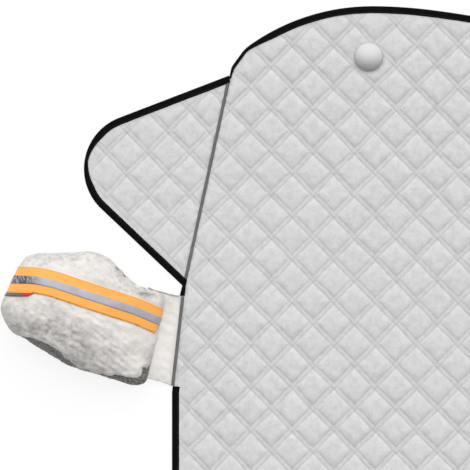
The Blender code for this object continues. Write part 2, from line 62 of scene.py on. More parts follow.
WING_TOP_SLOPE = math.radians(21.0)
WING_LOW_SLOPE = math.radians(43.4)
WING_TIP_RADIUS = 0.092
BINDING_WIDTH = 0.0120
SEAM_SETBACK = 0.0023
MAGNET_X = 0.394
MAGNET_DROP = 0.0856
MAGNET_RADIUS = 0.024
BAG_CORNERS = (
    (0.017, 0.081, 0.015),
    (0.066, 0.095, 0.045),
    (0.128, 0.149, 0.070),
    (0.255, 0.149, 0.040),
    (0.298, 0.055, 0.022),
    (0.283, 0.021, 0.040),
    (0.184, -0.043, 0.070),
    (0.070, -0.075, 0.040),
    (0.051, -0.071, 0.012),
)
BAG_CENTRE = (0.174, 0.048)
BAG_HEIGHT = 0.095
BAG_WAIST = 0.030
BAG_ROUNDNESS = 0.75
BAG_FLATNESS = 0.70
BAG_NECK_SHARE = 0.45
BAG_NECK_LENGTH = 0.160
BAG_HEM_ANGLE = math.radians(125)
BAG_PLEATS = 18
HEM_RADIUS = 0.0025
HEM_TOP = 0.0053
STRIP_OUTER_TOP = (0.0495, 0.0906)
STRIP_OUTER_BOTTOM = (0.063, -0.0604)
STRIP_LIFT = 0.0150
TAPE_LINE = (
    (0.029, 0.0330),
    (0.066, 0.0500),
    (0.205, 0.0965),
    (0.238, 0.1035),
    (0.340, 0.1035),
)
TAPE_WIDTH = 0.043
STRIPE_WIDTH = 0.0132
TAPE_BEND = 0.150
TURN_START = 0.2325  # the folded-out edge of the tape, as distances out from the strip's middle
TURN_REACH = 0.0160
TURN_WIDTH = 0.0062
TURN_DARK = 0.2555
TURN_FOLDS = (1.0, 0.55, 0.08)  # its lines, as shares of its width, and how far each is lifted
TURN_LIFTS = (0.0006, 0.0004, 0.0)
STRIPE_WORN = 0.222
GATHER_SPACING = 0.0066
# How much of the bag's gathered edge shows, painted dark as shade, by direction in degrees
GATHER_WIDTHS = (
    (-180, 0.0),
    (-146, 0.0),
    (-141, 0.0170),
    (-128, 0.0195),
    (-121, 0.0090),
    (-96, 0.0050),
    (-88, 0.0110),
    (-75, 0.0170),
    (-60, 0.0195),
    (-40, 0.0170),
    (-30, 0.0110),
    (-21, 0.0),
    (122, 0.0),
    (132, 0.0018),
    (150, 0.0030),
    (164, 0.0030),
    (172, 0.0),
    (180, 0.0),
)

# Places on the bag, as (out, up) from the middle of its strip, and how far each reaches
SHADED_FOLD = ((0.0510, 0.0790), (0.0150, 0.0055))
LOW_TIP = ((0.235, -0.005), (0.075, 0.060))
LOW_MIDDLE = ((0.135, -0.030), (0.060, 0.040))
TOP_INNER = ((0.085, 0.100), (0.050, 0.035))
TOP_EDGE = ((0.185, 0.150), (0.120, 0.028))

# Sizes of the finer forms
ARC_STEP = math.radians(3)
TOP_POINTS = 48
SEAM_LOW = 0.0030  # height of the flat band between two rows of stitches
SEAM_GROOVE = 0.0005  # how deep each row of stitches lies in it
STITCH_ROW = 0.0036  # distance of a row of stitches from the middle of its seam
ROW_HALF = 0.0009  # half the width of that groove
PAD_FLAT = 0.0068  # where a pad's edge has risen
PAD_EDGE = 0.0043
PAD_SHOULDER = 0.0160
PAD_CROWN = 0.00035
QUILT_WAVER = 0.0013
QUILT_SETTLED = ((0.00060, 0.055), (0.00040, 0.016))  # its broad unevenness, as (height, size)
QUILT_STILL = (0.010, 0.020)  # how wide it lies even along its edge, and how far that fades
QUILT_SIDE = 0.04997  # the distance between two seams
RIM_HEIGHT = 0.0031
BINDING_CLOTH = 0.0010
BINDING_HEIGHT = 0.0048
NARROW_SHARE = 0.44  # how much of a tape's width shows where it turns
NARROW_REACH = 0.050
QUILT_SETBACK = 0.0025  # room beside the seams for their piping
PIPING_TRIM = 0.0058
SHOULDER_ROUNDING = 0.060
CORNER_COVER = 0.0045  # how far the top tape runs down over the wing's seam
KNEE_COVER = 0.0022  # how far the wing's tape runs past its seam there
SHORT_BULGE = (0.0033, 0.0054)  # how far the short binding stands out, above and below
SHORT_SHARE = 0.19
PATH_STEP = 0.004
SHORT_STEP = 0.0075
TOP_TAPER = 0.55  # how much of its width the top tape loses at its ends
TAPER_REACH = 0.022
TAPE_WAVER = 0.0003
TAPE_PUCKER = 0.0002
TAPE_HELD = 0.012  # how far from its ends a tape lies straight
TAPE_ROW = 0.78  # where its stitching runs, as a share of its width
TAPE_ROW_END = 0.006
SHORT_TUCK = 0.0012  # how far the short tape's upper end stays from the wing's
PIPING_TUCK = 0.0014  # how far the piping starts under the top tape
PIPING_STEP = 0.0015
PIPING_SIDES = 12
PIPING_PRESS = 0.0016  # the length over which a tape presses it flat
PIECE_GAP = 0.0003
PIPING_LOW = 0.0008  # half its height where a tape crosses it, and where it is free
PIPING_HIGH = 0.0024
STITCH_SPACING = 0.0042
STITCH_LENGTH = 0.0030
THREAD_RADIUS = 0.00028
QUILT_THREAD_PITCH = 0.0036
QUILT_THREAD_HALF = 0.0005
QUILT_LINE_HALF = 0.0011
TAPE_HOLD = (RIM_HEIGHT, BINDING_WIDTH + 0.001, 0.010)  # padding's level, start and reach
SEAM_HOLD = (0.0032, 0.0026, 0.006)
SEAT_HOLD = (0.0033, MAGNET_RADIUS + 0.0002, 0.010)
QUILT_RIMS = ((0.0, 0.0014), (0.0115, 0.0014), (0.0165, 0.0002))  # inset and height, going under
PAD_PUFF = 0.18  # how much the pads differ in height
BAG_STEPS = 344
BAG_ROWS = 104
BAG_CLOTH = 0.0009
HEM_START = 1.45  # tilt at which the bag's pleats begin
HEM_SIDES = 10
HEM_LUMPS = 54
# The bag's creases: height, size, seed, heading, stretch, and how much of them the rim takes
BAG_CREASES = (
    (0.0010, 0.034, 81, 30.0, 1.9, 0.6),
    (0.0006, 0.016, 84, 22.0, 2.4, 0.7),
    (0.0003, 0.009, 87, 40.0, 1.5, 0.7),
)
RAGGED = 0.0034  # how far the edge of the gathered cloth wavers
TAPE_WRAP = math.radians(26)  # how far the tape goes on round the bag's widest line
TAPE_SEAM = 0.0016  # how far its stitching lies in from its edge
TAPE_OUTSET = 0.0004
TAPE_THICKNESS = 0.0008
STRIPE_OUTSET = 0.0013
STRIPE_THICKNESS = 0.0004
STRIP_THICKNESS = 0.0011
STRIP_ROWS = 84
STRIP_COLUMNS = 44
STRIP_LOW = 0.0024
MAGNET_TOP = 0.0148
MAGNET_RISE = 0.0060
MAGNET_DOME = 0.0234
MAGNET_RINGS = 14
MAGNET_STEPS = 72
MAGNET_RIM = (  # as (radius, height), going down
    (0.0238, 0.0084),
    (0.0240, 0.0078),
    (0.0240, 0.0062),
    (0.0240, 0.0042),
    (0.0236, 0.0036),
    (0.0225, 0.0034),
)

# Camera, floor and light
PHOTO_PIXELS = 470
PIXEL = 0.001678
CENTRE_LINE_PIXEL = 603.4
MIDDLE_ROW_PIXEL = 304.0
PHOTO_LEVEL = 0.005  # height at which a pixel has that size
LENS = 400.0
SENSOR = 36.0
FLOOR_HALF = 6.0
FLOOR_LEVEL = -0.0006
FLOOR_GLOW = 1.04
GLOW_SHARE = 0.80
LIGHT_FROM = Vector((0.08, 0.79, 0.61))
SKY_LOW = 0.20
SKY_HIGH = 1.72
SKY_SPREAD = -0.25


# Outlines in the plane

def unit(v):
    return v / v.length


def left_of(d):
    return Vector((-d.y, d.x))


def crossing(p, d, q, e):
    across = d.x * e.y - d.y * e.x
    between = q - p
    return p + d * ((between.x * e.y - between.y * e.x) / across)


def fillet(before, corner, after, radius):
    back, ahead = unit(before - corner), unit(after - corner)
    half = math.acos(max(-1.0, min(1.0, back.dot(ahead)))) / 2
    centre = corner + unit(back + ahead) * (radius / math.sin(half))
    start = corner + back * (radius / math.tan(half)) - centre
    turn = math.pi - 2 * half
    if back.x * ahead.y - back.y * ahead.x > 0:
        turn = -turn
    count = max(3, math.ceil(abs(turn) / ARC_STEP))
    points = []
    for i in range(count + 1):
        t = turn * i / count
        c, s = math.cos(t), math.sin(t)
        points.append(centre + Vector((start.x * c - start.y * s, start.x * s + start.y * c)))
    return points


def rounded_loop(corners):
    points = [Vector(corner[:2]) for corner in corners]
    loop = []
    for i, corner in enumerate(corners):
        loop += fillet(points[i - 1], points[i], points[(i + 1) % len(points)], corner[2])
    return loop


def offset_path(path, distances):
    moved = []
    for i, point in enumerate(path):
        leaving = unit(path[min(i + 1, len(path) - 1)] - path[min(i, len(path) - 2)])
        arriving = unit(path[max(i, 1)] - path[max(i - 1, 0)])
        normal = unit(left_of(arriving) + left_of(leaving))
        moved.append(point + normal * (distances[i] / normal.dot(left_of(leaving))))
    return moved


def inset_loop(loop, distance):
    padded = [loop[-1], *loop, loop[0]]
    return offset_path(padded, [distance] * len(padded))[1:-1]


def densified(path, spacing):
    """The path with points no further apart than spacing."""
    points = []
    for a, b in zip(path, path[1:]):
        count = max(1, math.ceil((b - a).length / spacing))
        points += [a.lerp(b, i / count) for i in range(count)]
    return [*points, path[-1]]


def mirrored(points):
    return [Vector((-p.x, p.y)) for p in reversed(points)]


TOP_Y = HEIGHT / 2
CREST_X = HALF_WIDTH - CREST_INSET
SHOULDER_ANGLE = math.asin((CREST_INSET - SHOULDER_INSET) / SHOULDER_RADIUS)
SHOULDER_DROP = SHOULDER_RADIUS * (1 - math.cos(SHOULDER_ANGLE))
SHOULDER = Vector((SHOULDER_INSET - HALF_WIDTH, TOP_Y - SHOULDER_DROP))
CORNER = Vector((CORNER_INSET - HALF_WIDTH, TOP_Y - CORNER_DROP))
KNEE = Vector((KNEE_INSET - HALF_WIDTH, CORNER.y - WING_DROP))
HIP = Vector((-HALF_WIDTH, KNEE.y - SHORT_DROP - SLEEVE_DROP - HIP_DROP))
SLEEVE_TOP = KNEE.lerp(HIP, SHORT_DROP / (KNEE.y - HIP.y))
SLEEVE_BOTTOM = HIP.lerp(KNEE, HIP_DROP / (KNEE.y - HIP.y))
SIDE = unit(KNEE - CORNER)
LOWER_SIDE = unit(HIP - KNEE)
SEAMS = ((CORNER, KNEE), (SLEEVE_TOP, SLEEVE_BOTTOM), (KNEE, SLEEVE_TOP))
BAG_ANCHOR = (SLEEVE_TOP + SLEEVE_BOTTOM) / 2
TOP_WAY = Vector((-math.cos(WING_TOP_SLOPE), -math.sin(WING_TOP_SLOPE)))
LOW_WAY = Vector((-math.cos(WING_LOW_SLOPE), math.sin(WING_LOW_SLOPE)))


def corner_run():
    """From the shoulder round into line with the wing's seam, and on to the corner."""
    bend = CORNER - SIDE * CORNER_RUN
    return [*fillet(SHOULDER, bend, CORNER, CORNER_RADIUS), CORNER]


def top_half():
    points = []
    for i in range(TOP_POINTS // 2 + 1):
        share = 2 * i / TOP_POINTS
        dip = TOP_DIP * (1 + math.cos(math.pi * share)) / 2
        points.append(Vector((-CREST_X * share, TOP_Y - dip)))
    count = math.ceil(SHOULDER_ANGLE / ARC_STEP) + 1
    for i in range(1, count + 1):
        angle = SHOULDER_ANGLE * i / count
        x = -CREST_X - SHOULDER_RADIUS * math.sin(angle)
        points.append(Vector((x, TOP_Y - SHOULDER_RADIUS * (1 - math.cos(angle)))))
    run = corner_run()
    return [*points[:-1], *fillet(points[-2], points[-1], run[0], SHOULDER_ROUNDING), *run]


def low_half():
    foot = Vector((-HALF_WIDTH, -TOP_Y))
    middle = Vector((0, -TOP_Y))
    return [SLEEVE_BOTTOM, HIP, *fillet(HIP, foot, middle, BOTTOM_RADIUS), middle]


def panel_loop():
    left = [*top_half(), KNEE, SLEEVE_TOP, *low_half()]
    return left + mirrored(left)[1:-1]


def wing_path():
    tip = crossing(CORNER, TOP_WAY, KNEE, LOW_WAY)
    return [CORNER, *fillet(CORNER, tip, KNEE, WING_TIP_RADIUS), KNEE]


# Lines and fields, as arrays

def smooth(t):
    t = np.clip(t, 0.0, 1.0)
    return t * t * (3 - 2 * t)


def as_array(points):
    return np.array([(p.x, p.y) for p in points])


def lengths(points):
    """Distances along a line of points, given as rows."""
    steps = np.linalg.norm(np.diff(points, axis=0), axis=1)
    return np.concatenate([[0], np.cumsum(steps)])


def at_lengths(points, at):
    """Points at those distances along a line."""
    s = lengths(points)
    return np.stack([np.interp(at, s, column) for column in points.T], axis=1)


def waver_along(s, size, seed):
    """Smooth noise along a line at distances s."""
    return wander(np.column_stack([s, np.zeros(len(s))]), size, seed)


def nearest_on(points, line, closed=True):
    """Distance of each point to the polyline, the nearest point, and the segment's direction."""
    line = np.asarray(line)
    ends = np.roll(line, -1, axis=0) if closed else line[1:]
    starts = line if closed else line[:-1]
    best = np.full(len(points), np.inf)
    spot = np.zeros((len(points), 2))
    way = np.zeros((len(points), 2))
    for a, b in zip(starts, ends):
        edge = b - a
        length = max(edge @ edge, 1e-16)
        t = np.clip(((points - a) @ edge) / length, 0, 1)
        on = a + t[:, None] * edge
        d = np.hypot(*(points - on).T)
        closer = d < best
        best[closer] = d[closer]
        spot[closer] = on[closer]
        way[closer] = edge / math.sqrt(length)
    return best, spot, way


def inside(points, loop):
    x, y = points[:, 0], points[:, 1]
    found = np.zeros(len(points), bool)
    for (ax, ay), (bx, by) in zip(loop, np.roll(loop, -1, axis=0)):
        if ay == by:
            continue
        met = ((ay > y) != (by > y)) & (x < (bx - ax) * (y - ay) / (by - ay) + ax)
        found ^= met
    return found


def wander(points, scale, seed, octaves=2):
    """Smooth noise of about -1 to 1 at points (n, 2 or 3), with features of that size."""
    values = np.empty(len(points))
    shift = Vector((seed * 13.7, seed * 7.1, seed * 3.3))
    for i, p in enumerate(points):
        place = Vector((p[0], p[1], p[2] if len(p) > 2 else 0.0)) / scale + shift
        values[i] = noise.fractal(place, 1.0, 2.0, octaves)
    return values


# Pieces and their meshes

def mesh_object(name, verts, faces, material):
    mesh = bpy.data.meshes.new(name)
    mesh.from_pydata([tuple(map(float, v)) for v in verts], [], [tuple(map(int, f)) for f in faces])
    mesh.validate()
    obj = bpy.data.objects.new(name, mesh)
    bpy.context.scene.collection.objects.link(obj)
    mesh.materials.append(material)
    mesh.shade_smooth()
    return obj


def closed_object(name, verts, faces, material, shades=None):
    """A piece made of one closed mesh, painted with the shades that its material reads.

    What coincides is merged, what has no area is dropped and all faces turn outwards.
    """
    obj = mesh_object(name, verts, faces, material)
    for label, values in (shades or {}).items():
        layer = obj.data.attributes.new(label, "FLOAT", "POINT")
        layer.data.foreach_set("value", np.asarray(values, np.float32).ravel())
    bm = bmesh.new()
    bm.from_mesh(obj.data)
    bmesh.ops.remove_doubles(bm, verts=bm.verts[:], dist=2e-5)
    bmesh.ops.dissolve_degenerate(bm, edges=bm.edges[:], dist=1e-6)
    bmesh.ops.recalc_face_normals(bm, faces=bm.faces[:])
    bm.to_mesh(obj.data)
    bm.free()
    obj.data.shade_smooth()
    return obj


def mirror_copy(obj, name):
    """The piece for the right side, from the one for the left."""
    mesh = obj.data.copy()
    mesh.name = name
    co = np.empty(len(mesh.vertices) * 3, np.float32)
    mesh.vertices.foreach_get("co", co)
    co = co.reshape(-1, 3)
    co[:, 0] *= -1
    mesh.vertices.foreach_set("co", co.ravel())
    mesh.flip_normals()
    copy = bpy.data.objects.new(name, mesh)
    bpy.context.scene.collection.objects.link(copy)
    return copy


def settle(obj, slot, node=None):
    """The piece rides on the cover and stands for its solid. Its slot is not used."""
    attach(obj, "root")
    if node:
        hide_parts(node)


def settle_pair(obj, slot, node=None):
    """A left piece and its mirror copy, which stand for that node's left and right solids."""
    pair = (obj, mirror_copy(obj, obj.name.replace("left", "right")))
    for piece, side in zip(pair, ("left", "right")):
        settle(piece, slot, node and f"{node}_{side}")
    return pair


def ring_faces(rings, sides, start=0, closed=False):
    """Faces between rings of that many points each. Closed, the last ring joins the first."""
    faces = []
    for i in range(rings if closed else rings - 1):
        a, b = start + i * sides, start + (i + 1) % rings * sides
        for k in range(sides):
            n = (k + 1) % sides
            faces.append((a + k, a + n, b + n, b + k))
    return faces


def cloth_faces(rows, columns, closed=False):
    """Faces of the two sides of a cloth and of its free edges, each side a grid of points.

    A closed one has its last row joined to its first, and no edge along its first column.
    """
    size = rows * columns
    faces = []
    for i in range(rows if closed else rows - 1):
        a, b = i * columns, (i + 1) % rows * columns
        for j in range(columns - 1):
            quad = (a + j, a + j + 1, b + j + 1, b + j)
            faces += [quad, tuple(size + v for v in quad[::-1])]
        for j in (columns - 1,) if closed else (0, columns - 1):
            faces.append((a + j, b + j, size + b + j, size + a + j))
    for i in () if closed else (0, rows - 1):
        for a in range(i * columns, (i + 1) * columns - 1):
            faces.append((a, a + 1, size + a + 1, size + a))
    return faces


# Materials

class Nodes:
    """A short hand for building one material, or the world with its own shader."""

    def __init__(self, name, owner=None, shader="Principled BSDF", place="Object"):
        self.material = owner or bpy.data.materials.new(name)
        self.material.use_nodes = True
        self.tree = self.material.node_tree
        self.shader = self.tree.nodes[shader]
        self.place = self.add("ShaderNodeTexCoord").outputs[place]

    def add(self, kind, inputs=None, **settings):
        node = self.tree.nodes.new(kind)
        for key, value in settings.items():
            setattr(node, key, value)
        for key, value in (inputs or {}).items():
            self.put(node.inputs[key], value)
        return node

    def put(self, socket, value):
        if isinstance(value, bpy.types.NodeSocket):
            self.tree.links.new(value, socket)
        else:
            socket.default_value = value

    def math(self, operation, a, b=0.0, c=None, clamp=False):
        node = self.add("ShaderNodeMath", operation=operation, use_clamp=clamp)
        self.put(node.inputs[0], a)
        self.put(node.inputs[1], b)
        if c is not None:
            self.put(node.inputs[2], c)
        return node.outputs[0]

    def times(self, a, b):
        return self.math("MULTIPLY", a, b)

    def ramp(self, value, gain, offset):
        """The value times gain plus offset, kept between 0 and 1."""
        return self.math("MULTIPLY_ADD", value, gain, offset, clamp=True)

    def noise(self, scale, detail=3.0, roughness=0.5, stretch=None, distortion=0.0):
        place = self.place
        if stretch:
            place = self.add("ShaderNodeMapping", {"Vector": place, "Scale": stretch}).outputs[0]
        inputs = {"Vector": place, "Scale": scale, "Detail": detail}
        inputs.update({"Roughness": roughness, "Distortion": distortion})
        return self.add("ShaderNodeTexNoise", inputs).outputs["Fac"]

    def value(self, name):
        """The value painted on the mesh by that name, or 0."""
        return self.add("ShaderNodeAttribute", attribute_name=name).outputs["Fac"]

    def waves(self, scale, direction="X", distortion=0.0):
        inputs = {"Vector": self.place, "Scale": scale, "Distortion": distortion}
        return self.add("ShaderNodeTexWave", inputs, bands_direction=direction).outputs["Fac"]

    def weave(self, scale):
        return self.times(self.waves(scale, "X"), self.waves(scale, "Y"))

    def spread(self, value, low, high):
        """The value from 0 to 1 taken to between low and high."""
        node = self.add("ShaderNodeMapRange", {"Value": value, "To Min": low, "To Max": high})
        return node.outputs["Result"]

    def mix(self, factor, one, other):
        node = self.add("ShaderNodeMix", data_type="RGBA")
        self.put(node.inputs["Factor"], factor)
        self.put(node.inputs["A"], (*one, 1.0) if isinstance(one, tuple) else one)
        self.put(node.inputs["B"], (*other, 1.0) if isinstance(other, tuple) else other)
        return node.outputs["Result"]

    def bump(self, height, strength, distance, under=None):
        node = self.add("ShaderNodeBump", {"Height": height, "Strength": strength, "Distance": distance})
        if under:
            self.put(node.inputs["Normal"], under)
        return node.outputs["Normal"]

    def set(self, **values):
        names = {
            "colour": "Base Color",
            "roughness": "Roughness",
            "metallic": "Metallic",
            "normal": "Normal",
            "sheen": "Sheen Weight",
            "specular": "Specular IOR Level",
        }
        for key, value in values.items():
            if isinstance(value, tuple) and key == "colour":
                value = (*value, 1.0)
            self.put(self.shader.inputs[names[key]], value)
        return self.material


def stitch_rows(n):
    """Cover of the stitching's lines along the seams each way, of their bands and threads."""
    a, b = n.value("across_falling"), n.value("across_rising")
    lines, bands, threads = [], [], []
    for across, along in ((a, b), (b, a)):
        off = n.math("ABSOLUTE", n.math("SUBTRACT", across, n.math("ROUND", across)))
        off = n.math("MULTIPLY_ADD", off, QUILT_SIDE, -STITCH_ROW)
        bands.append(n.ramp(off, -700.0, 0.8))
        off = n.math("ABSOLUTE", off)
        lines.append(n.math("SUBTRACT", 1.0, n.math("DIVIDE", off, QUILT_LINE_HALF), clamp=True))
        thread = n.math("SUBTRACT", 1.0, n.math("DIVIDE", off, QUILT_THREAD_HALF), clamp=True)
        dash = n.math("SINE", n.times(along, math.tau * QUILT_SIDE / QUILT_THREAD_PITCH))
        threads.append(n.times(thread, n.ramp(dash, 2.0, 1.2)))
    return lines, bands, n.math("MAXIMUM", *threads)


def quilt_material():
    n = Nodes("quilted_silver_cloth")
    tone = n.noise(7.0, 3.0)
    fine = n.noise(260.0, 4.0, 0.6)
    mottle = n.noise(120.0, 3.0, 0.6)
    shade = n.mix(n.spread(tone, 0.2, 0.8), (0.650, 0.650, 0.655), (0.705, 0.705, 0.705))
    shade = n.mix(n.spread(fine, 0.0, 0.22), shade, (0.58, 0.58, 0.585))
    shade = n.mix(n.spread(mottle, -0.62, 1.05), shade, (0.50, 0.50, 0.505))
    lines, bands, thread = stitch_rows(n)
    # Painted shade in the seams: the stitching's lines and bands are darkened unevenly, about twice as much
    # on the seams that fall to the right as on those that rise
    worn = n.spread(n.noise(45.0, 2.0), 0.3, 1.1)
    for line, band, depths in zip(lines, bands, ((0.46, 0.20), (0.22, 0.10))):
        for cover, depth in zip((line, band), depths):
            shade = n.mix(n.times(n.times(cover, worn), depth), shade, (0.38, 0.38, 0.39))
    crinkle = n.noise(42.0, 6.0, 0.62, distortion=0.6)
    normal = n.bump(crinkle, 0.30, 0.0016)
    normal = n.bump(mottle, 0.75, 0.0007, normal)
    normal = n.bump(n.weave(900.0), 0.10, 0.0002, normal)
    normal = n.bump(thread, 0.5, 0.0003, normal)
    roughness = n.spread(fine, 0.46, 0.62)
    return n.set(colour=shade, metallic=0.0, roughness=roughness, specular=0.3, normal=normal)


def tape_material():
    n = Nodes("black_binding_tape")
    fine = n.noise(700.0, 3.0)
    shade = n.mix(fine, (0.0015, 0.0015, 0.0017), (0.006, 0.006, 0.0064))
    ribs = n.waves(620.0, "DIAGONAL", 0.4)
    normal = n.bump(ribs, 0.35, 0.0003)
    return n.set(colour=shade, roughness=0.85, specular=0.06, normal=normal)


def piping_material():
    n = Nodes("grey_seam_tape")
    tone = n.noise(42.0, 2.0)
    fine = n.noise(600.0, 3.0)
    shade = n.mix(n.spread(tone, 0.1, 0.9), (0.11, 0.11, 0.11), (0.23, 0.23, 0.23))
    shade = n.mix(n.spread(fine, 0.0, 0.4), shade, (0.08, 0.08, 0.08))
    normal = n.bump(n.waves(520.0, "Y", 0.5), 0.4, 0.0003)
    return n.set(colour=shade, roughness=0.7, specular=0.3, normal=normal)


def bag_material(name="silver_bag_cloth", lift=1.0, creased=0.22):
    """Thin cloth, soiled and painted with shade where the mesh marks wear and shade, and painted dark as
    shade where it is gathered.
    """
    n = Nodes(name)

    def lifted(*colour):
        return tuple(c * lift for c in colour)

    gathered, worn = n.value("gathered"), n.value("worn")
    tone = n.noise(24.0, 4.0, 0.6)
    fine = n.noise(330.0, 4.0, 0.65)
    mottle = n.noise(120.0, 3.0, 0.5)
    shade = n.mix(n.spread(tone, -0.35, 1.0), lifted(0.870, 0.842, 0.808), lifted(0.62, 0.597, 0.572))
    shade = n.mix(n.spread(fine, 0.0, 0.14), shade, lifted(0.55, 0.53, 0.51))
    # Soil and painted shade: dark spots and patches where the mesh marks wear and shade
    dark_mottle = n.ramp(n.noise(34.0, 3.0, 0.6), 5.0, -1.9)
    dark_mottle = n.times(worn, n.math("MULTIPLY_ADD", dark_mottle, 0.60, 0.30))
    spots = n.times(n.ramp(mottle, 4.6, -1.9), dark_mottle)
    shade = n.mix(spots, shade, (0.29, 0.277, 0.268))
    shade = n.mix(n.times(dark_mottle, 0.74), shade, (0.42, 0.402, 0.388))
    # The gathered edge is painted dark as shade, mottled where it is ruched
    ruched = n.ramp(n.noise(260.0, 4.0, 0.6), 4.0, -1.55)
    band = n.mix(ruched, (0.060, 0.056, 0.053), (0.33, 0.315, 0.30))
    shade = n.mix(gathered, shade, band)
    normal = n.bump(n.noise(95.0, 5.0, 0.6, distortion=0.4), 0.14, 0.0014)
    for scale in (62.0, 118.0):
        crease = n.noise(scale, 3.0, 0.55, distortion=0.5)
        crease = n.math("ABSOLUTE", n.math("SUBTRACT", crease, 0.5))
        normal = n.bump(crease, creased, 0.30 / scale, normal)
    normal = n.bump(n.times(ruched, gathered), 0.5, 0.0010, normal)
    normal = n.bump(n.weave(1100.0), 0.1, 0.0002, normal)
    roughness = n.spread(fine, 0.42, 0.62)
    return n.set(colour=shade, roughness=roughness, specular=0.35, normal=normal)


def orange_material():
    n = Nodes("orange_woven_tape")
    fine = n.noise(420.0, 3.0)
    tone = n.noise(30.0, 2.0)
    shade = n.mix(n.spread(tone, 0.0, 0.7), (1.0, 0.46, 0.085), (0.98, 0.36, 0.05))
    shade = n.mix(n.spread(fine, 0.0, 0.35), shade, (1.0, 0.52, 0.16))
    # Painted shade on the folded-out edge: red where it turns, dark grey as shadow nearer the tip
    turned = n.value("turned")
    shade = n.mix(n.ramp(turned, 1.0, 0.0), shade, (0.62, 0.030, 0.028))
    fold_shadow = n.mix(n.noise(260.0, 3.0), (0.06, 0.057, 0.055), (0.22, 0.21, 0.20))
    shade = n.mix(n.math("SUBTRACT", turned, 1.0, clamp=True), shade, fold_shadow)
    normal = n.bump(n.weave(700.0), 0.25, 0.0003)
    return n.set(colour=shade, roughness=0.6, specular=0.3, sheen=0.1, normal=normal)


def stripe_material():
    n = Nodes("reflective_bead_stripe")
    beads = n.add("ShaderNodeTexVoronoi", {"Vector": n.place, "Scale": 1400.0}).outputs["Distance"]
    tone = n.noise(70.0, 4.0, 0.6)
    shade = n.mix(n.spread(tone, 0.0, 1.0), (0.50, 0.50, 0.56), (0.33, 0.33, 0.38))
    spots = n.ramp(n.noise(210.0, 3.0, 0.6), 5.0, -1.8)
    shade = n.mix(n.times(spots, n.value("worn")), shade, (0.07, 0.07, 0.08))
    normal = n.bump(beads, 0.25, 0.0002)
    return n.set(colour=shade, metallic=0.25, roughness=0.38, normal=normal)


def elastic_material():
    n = Nodes("gathered_elastic_hem")
    ribs = n.noise(240.0, 3.0)
    shade = n.mix(ribs, (0.10, 0.095, 0.09), (0.26, 0.25, 0.24))
    return n.set(colour=shade, roughness=0.85, normal=n.bump(ribs, 0.5, 0.0008))


def metal_material():
    n = Nodes("pressed_magnet_metal")
    scuffs = n.spread(n.noise(140.0, 6.0, 0.7, stretch=(1.0, 0.12, 1.0)), 0.30, 0.40)
    normal = n.bump(n.noise(500.0, 3.0), 0.05, 0.0003)
    return n.set(colour=(0.53, 0.53, 0.53), metallic=0.7, roughness=scuffs, normal=normal)


def thread_material(name, colour):
    n = Nodes(name)
    twist = n.noise(900.0, 2.0)
    shade = n.mix(twist, tuple(c * 0.7 for c in colour), colour)
    return n.set(colour=shade, roughness=0.65, normal=n.bump(twist, 0.4, 0.0003))


def floor_material():
    """A pale floor that glows for the camera and in reflections, so that it looks white."""
    n = Nodes("pale_floor")
    n.set(colour=(0.90, 0.90, 0.90), roughness=0.9, specular=0.1)
    glow = n.add("ShaderNodeEmission", {"Strength": FLOOR_GLOW})
    path = n.add("ShaderNodeLightPath").outputs
    seen = n.math("MAXIMUM", path["Is Camera Ray"], path["Is Glossy Ray"])
    seen = n.math("MAXIMUM", seen, path["Is Transmission Ray"])
    mix = n.add("ShaderNodeMixShader", {0: n.times(seen, GLOW_SHARE)})
    n.put(mix.inputs[1], n.shader.outputs[0])
    n.put(mix.inputs[2], glow.outputs[0])
    n.put(n.tree.nodes["Material Output"].inputs["Surface"], mix.outputs[0])
    return n.material


# Quilted panels

def cell_breaks():
    """Places along one side of a quilting square, from 0 to 1."""
    rise = (STITCH_ROW + PAD_FLAT) / 2
    half = (0.0, STITCH_ROW - ROW_HALF, STITCH_ROW, rise, PAD_FLAT, PAD_SHOULDER)
    half = [h / QUILT_SIDE for h in half]
    return half + [0.5] + [1 - h for h in reversed(half[1:])]


def quilt_ways(points, shift):
    """Where points lie across the seams that fall to the right and those that rise."""
    x = (points[:, 0] - shift[0]) / QUILT_STEP_X
    y = (points[:, 1] - QUILT_START_Y - shift[1]) / QUILT_STEP_Y
    return (x + y) / 2, (x - y) / 2


def quilt_height(a, b):
    """Height of the cloth: flat bands between two rows of stitches, and pads between them."""
    rise, crown, groove = 1.0, PAD_CROWN, 0.0
    for across in (a, b):
        off = np.abs(across - np.round(across)) * QUILT_SIDE
        rise = rise * np.clip((off - STITCH_ROW) / (PAD_FLAT - STITCH_ROW), 0, 1)
        crown = crown * (1 - (1 - off / (QUILT_SIDE / 2)) ** 2)
        groove = np.maximum(groove, 1 - np.abs(off - STITCH_ROW) / ROW_HALF)
    puff = 1 + PAD_PUFF * np.sin(np.floor(a) * 57.1 + np.floor(b) * 131.7)
    return SEAM_LOW - SEAM_GROOVE * groove + (PAD_EDGE - SEAM_LOW + crown) * rise * puff


